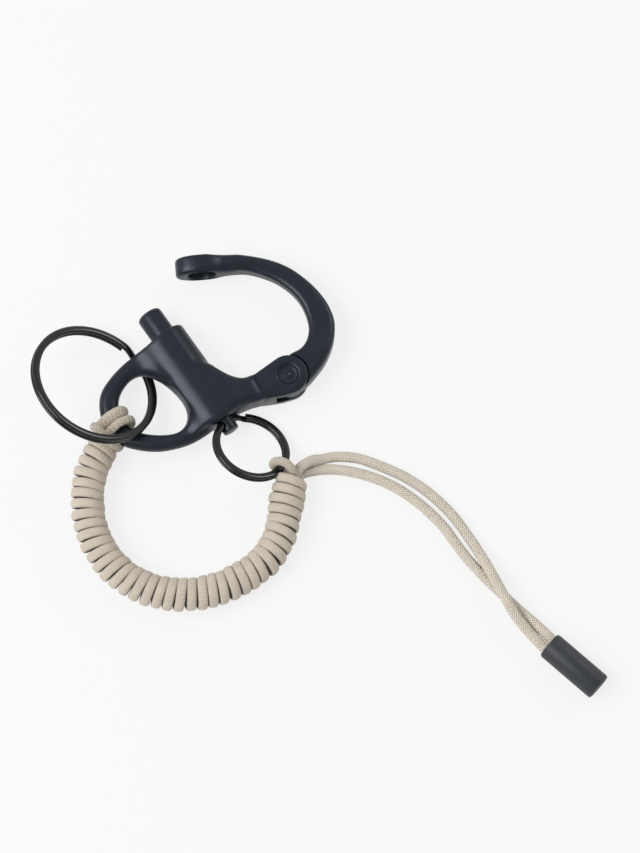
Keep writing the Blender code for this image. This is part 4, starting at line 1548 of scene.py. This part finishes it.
    def uneven(self, turn: float, angle: float) -> Pair:
        """How far one place of the winding is off an even helix.

        Args:
            turn: how many turns lie before it.
            angle: its angle round the core.

        Returns:
            What is added to its place along the core and to its radius.
        """
        along, out = self.coil_sway, self.coil_swell / 2
        for wave in self.sway_waves:
            along *= math.sin(wave * turn)
        along += self.coil_lean * math.sin(self.lean_wave * turn) * math.cos(angle)
        out *= sum(math.sin(wave * turn + phase) for wave, phase in self.swell_waves)
        past = turn - self.coil_turns
        out += self.coil_head * max(0.0, 1 - abs(past + self.head_turns) / self.head_spread)
        tuck = max(0.0, self.start_tuck_turns - turn) / self.start_tuck_turns
        tuck += max(0.0, past + self.end_tuck_turns) / self.end_tuck_spread
        return along, out - self.coil_tuck * tuck

    def coil_lines(self) -> tuple[list[Vector], list[Vector], list[Vector]]:
        """The wrapped run's helix.

        Returns:
            The core's line, the winding's line and its outward directions.
        """
        core = even_line(smooth_line(self.coil_route, self.core_spans), self.core_step)
        length = line_length(core)
        up = Vector((0, 0, 1))
        winding, sides = [], []
        for number in range(round(self.coil_start_turn * self.stations_per_turn),
                            round(self.coil_end_turn * self.stations_per_turn) + 1):
            turn = number / self.stations_per_turn
            angle = 2 * math.pi * (self.coil_turns - turn)
            along, out = self.uneven(turn, angle)
            place = length * min(turn / self.coil_turns, 1.0) + along
            where = place / length * (len(core) - 1)
            index = min(max(int(where), 0), len(core) - 2)
            middle = core[index].lerp(core[index + 1], where - index)
            left = up.cross(heading(core, index, ahead=3, behind=2)).normalized()
            side = left * math.cos(angle) + up * math.sin(angle)
            winding.append(middle + side * (self.coil_radius + out))
            sides.append(side)
        return core, winding, sides

    def coil(self) -> list[Object]:
        """The two halves of the wrapped run, each with its stretch of core.

        Returns:
            The pieces.
        """
        core, winding, sides = self.coil_lines()
        split = round((self.coil_split_turn - self.coil_start_turn) * self.stations_per_turn)
        middle = round((len(core) - 1) * self.coil_split_turn / self.coil_turns)
        bottom = core[middle]
        half = self.diameter / 2
        ways = (
            ("wrapped_run_bail_half", "core_bail_half", slice(0, split + 1), slice(0, middle + 1),
             (Body.SHACKLE, Body.PLUNGER), core[0], bottom),
            ("wrapped_run_ring_half", "core_ring_half", slice(split, None), slice(middle, None),
             (Body.PLUNGER, Body.PULL_RING), bottom, core[-1]))
        made = []
        for name, core_name, part, core_part, bodies, start, end in ways:
            line, inner_line = winding[part], core[core_part]
            piece = Strand(name, line, sides[part], half * self.coil_wide, half * self.coil_thick,
                           self.coil_power, self.coil_facets).build(self.finishes.wrapped)
            inner = Strand(core_name, inner_line, [Vector((0, 0, 1))] * len(inner_line),
                           self.core_radius, self.core_radius,
                           facets=self.core_facets).build(self.finishes.elastic)
            for item in (piece, inner):
                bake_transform(item)
            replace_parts(piece, "wrap_coil")
            made += [piece, inner]
        return made

    def build(self, sleeve: Object) -> list[Object]:
        """Build every stretch of the cord.

        Args:
            sleeve: the sleeve on the tails' ends; not used.

        Returns:
            The pieces.
        """
        made = self.coil()
        woven = self.finishes.elastic
        hitch, line = self.free_strand("bail_hitch_strand", self.hitch_route, woven, wide=1.08,
                                       thick=0.84, power=3.6)
        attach(hitch, Body.SHACKLE.value)
        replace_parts(hitch, "bail_hitch")
        loop, _ = self.free_strand("ring_loop_strand", self.loop_route, woven, wide=0.86,
                                   thick=0.82)
        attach(loop, Body.PULL_RING.value)
        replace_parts(loop, "ring_loop")
        made += [hitch, loop]
        for letter, route in (("a", self.tail_a_route), ("b", self.tail_b_route)):
            # The tails get the lighter copy of the cord's finish, which is painted light.
            tail, line = self.free_strand("tail_" + letter, route, self.finishes.painted_lighter)
            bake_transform(tail)
            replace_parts(tail, "tail_strand_" + letter)
            made.append(tail)
        return made


@dataclass
class EndSleeve:
    """The moulded sleeve on the two tails, with the edge of its end plug showing."""

    finishes: Finishes
    radius: float = 2.9 * MM
    length: float = 13.4 * MM
    bore_radius: float = 2.4 * MM
    bore_depth: float = 10.6 * MM
    mouth: Point = (27.7 * MM, -88.6 * MM, 2.9 * MM)
    heading_degrees: float = -76.5

    def build(self) -> list[Object]:
        """Build the sleeve.

        Returns:
            The piece, in a list.
        """
        radius, length, bore = self.radius, self.length, self.bore_radius
        profile = ((0.0, length - 0.05 * MM),
                   *near(radius, length, (-1.15, -0.05), (-0.98, -0.12), (-0.92, -0.45),
                         (-0.72, -0.45), (-0.68, -0.06), (-0.5, 0), (-0.34, 0), (-0.12, -0.1),
                         (0, -0.34)),
                   *near(radius, 0.0, (0, 0.55), (-0.08, 0.25), (-0.25, 0)),
                   *near(bore, 0.0, (0.08, 0), (0, 0.1)),
                   (bore, self.bore_depth), (0.0, self.bore_depth))
        work = lathe(profile, FINE_FACETS)
        move(work, Matrix.Translation(self.mouth) @ turned(self.heading_degrees, "Z")
             @ turned(90, "Y"))
        sleeve = dress(new_piece("cord_end_sleeve", work), self.finishes.sleeve)
        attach(sleeve, Body.PLUNGER.value)
        return [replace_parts(sleeve, "end_sleeve")]


# ---- Studio ----------------------------------------------------------------------------------


@dataclass
class SoftBox:
    """A soft lamp that looks at the keyring."""

    name: str
    place: Point
    size: Pair
    power: float


@dataclass
class Studio:
    """The floor, the lamps, the world and the camera of the photograph."""

    aim: Point = (15.57 * MM, -23.88 * MM, 4.4 * MM)
    eye: Point = (-95.8 * MM, -182.9 * MM, 728.8 * MM)
    heading: Point = (0.574, 0.819, 0.0)
    focal_px: float = 3600.0
    frame_px: tuple[int, int] = (640, 853)
    floor_size: float = 6.0
    clip: Pair = (0.01, 20.0)
    horizon_light: float = 0.85
    zenith_light: float = 0.26
    lamps: tuple[SoftBox, ...] = (
        SoftBox("left soft box", (-0.445, 0.170, 0.630), (0.60, 0.42), 5.2),
        SoftBox("right soft box", (0.85, 0.05, 0.62), (0.30, 0.40), 2.0),
        SoftBox("top soft box", (0.30, 0.45, 0.95), (1.0, 0.8), 0.8),
    )

    def floor(self) -> None:
        """Lay the floor."""
        work = bmesh.new()
        bmesh.ops.create_grid(work, x_segments=1, y_segments=1, size=self.floor_size / 2)
        floor = new_piece("floor", work)
        floor.data.materials.append(PaleFloor().material())

    def light(self) -> None:
        """Hang the lamps and set the world."""
        aim = Vector(self.aim)
        for box in self.lamps:
            lamp = bpy.data.lights.new(box.name, "AREA")
            lamp.shape = "RECTANGLE"
            lamp.size, lamp.size_y = box.size
            lamp.energy = box.power
            holder = bpy.data.objects.new(box.name, lamp)
            holder.location = box.place
            holder.rotation_euler = (aim - Vector(box.place)).to_track_quat("-Z", "Y").to_euler()
            bpy.context.scene.collection.objects.link(holder)
        world = bpy.data.worlds.new("studio")
        bpy.context.scene.world = world
        world.use_nodes = True
        tree = world.node_tree
        tree.nodes["Background"].inputs["Color"].default_value = (1.0, 1.0, 1.0, 1.0)
        split = tree.nodes.new("ShaderNodeSeparateXYZ")
        level = tree.nodes.new("ShaderNodeMapRange")
        level.inputs["To Min"].default_value = self.horizon_light
        level.inputs["To Max"].default_value = self.zenith_light
        tree.links.new(tree.nodes.new("ShaderNodeTexCoord").outputs["Generated"], split.inputs[0])
        tree.links.new(split.outputs["Z"], level.inputs["Value"])
        tree.links.new(level.outputs["Result"], tree.nodes["Background"].inputs["Strength"])

    def camera(self) -> None:
        """Set the camera at the photograph's viewing angle."""
        lens = bpy.data.cameras.new("camera")
        lens.sensor_fit = "AUTO"
        lens.lens = self.focal_px * lens.sensor_width / max(self.frame_px)
        lens.clip_start, lens.clip_end = self.clip
        camera = bpy.data.objects.new("camera", lens)
        back = (Vector(self.eye) - Vector(self.aim)).normalized()
        up = Vector(self.heading)
        up = (up - back * up.dot(back)).normalized()
        right = up.cross(back)
        turn = Matrix((right, up, back)).transposed()
        camera.matrix_world = Matrix.Translation(self.eye) @ turn.to_4x4()
        bpy.context.scene.collection.objects.link(camera)
        bpy.context.scene.camera = camera

    def build(self) -> None:
        """Build the studio."""
        self.floor()
        self.light()
        self.camera()
        bpy.context.scene.view_settings.view_transform = "Standard"


def corners(bounds: tuple[Vector, Vector]) -> list[list[float]]:
    """A box as plain lists."""
    return [[float(value) for value in corner] for corner in bounds]


def main() -> None:
    """Build the keyring and its studio, and log how many faces each piece has."""
    logging.basicConfig(level=logging.INFO, format="%(name)s %(message)s")
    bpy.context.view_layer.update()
    Studio().build()
    finishes = Finishes()
    shackle = Shackle(finishes)
    sleeve = EndSleeve(finishes).build()
    made = [*sleeve, *ElasticCord(finishes).build(sleeve[0]), *shackle.build(),
            *Jaw(finishes, shackle).build(), *Plunger(finishes).build(),
            *make_key_ring(finishes).build(), *make_pull_ring(finishes).build()]
    for piece in made:
        LOG.info("%s: %d faces", piece.name, len(piece.data.polygons))


if __name__ == "__main__":
    main()
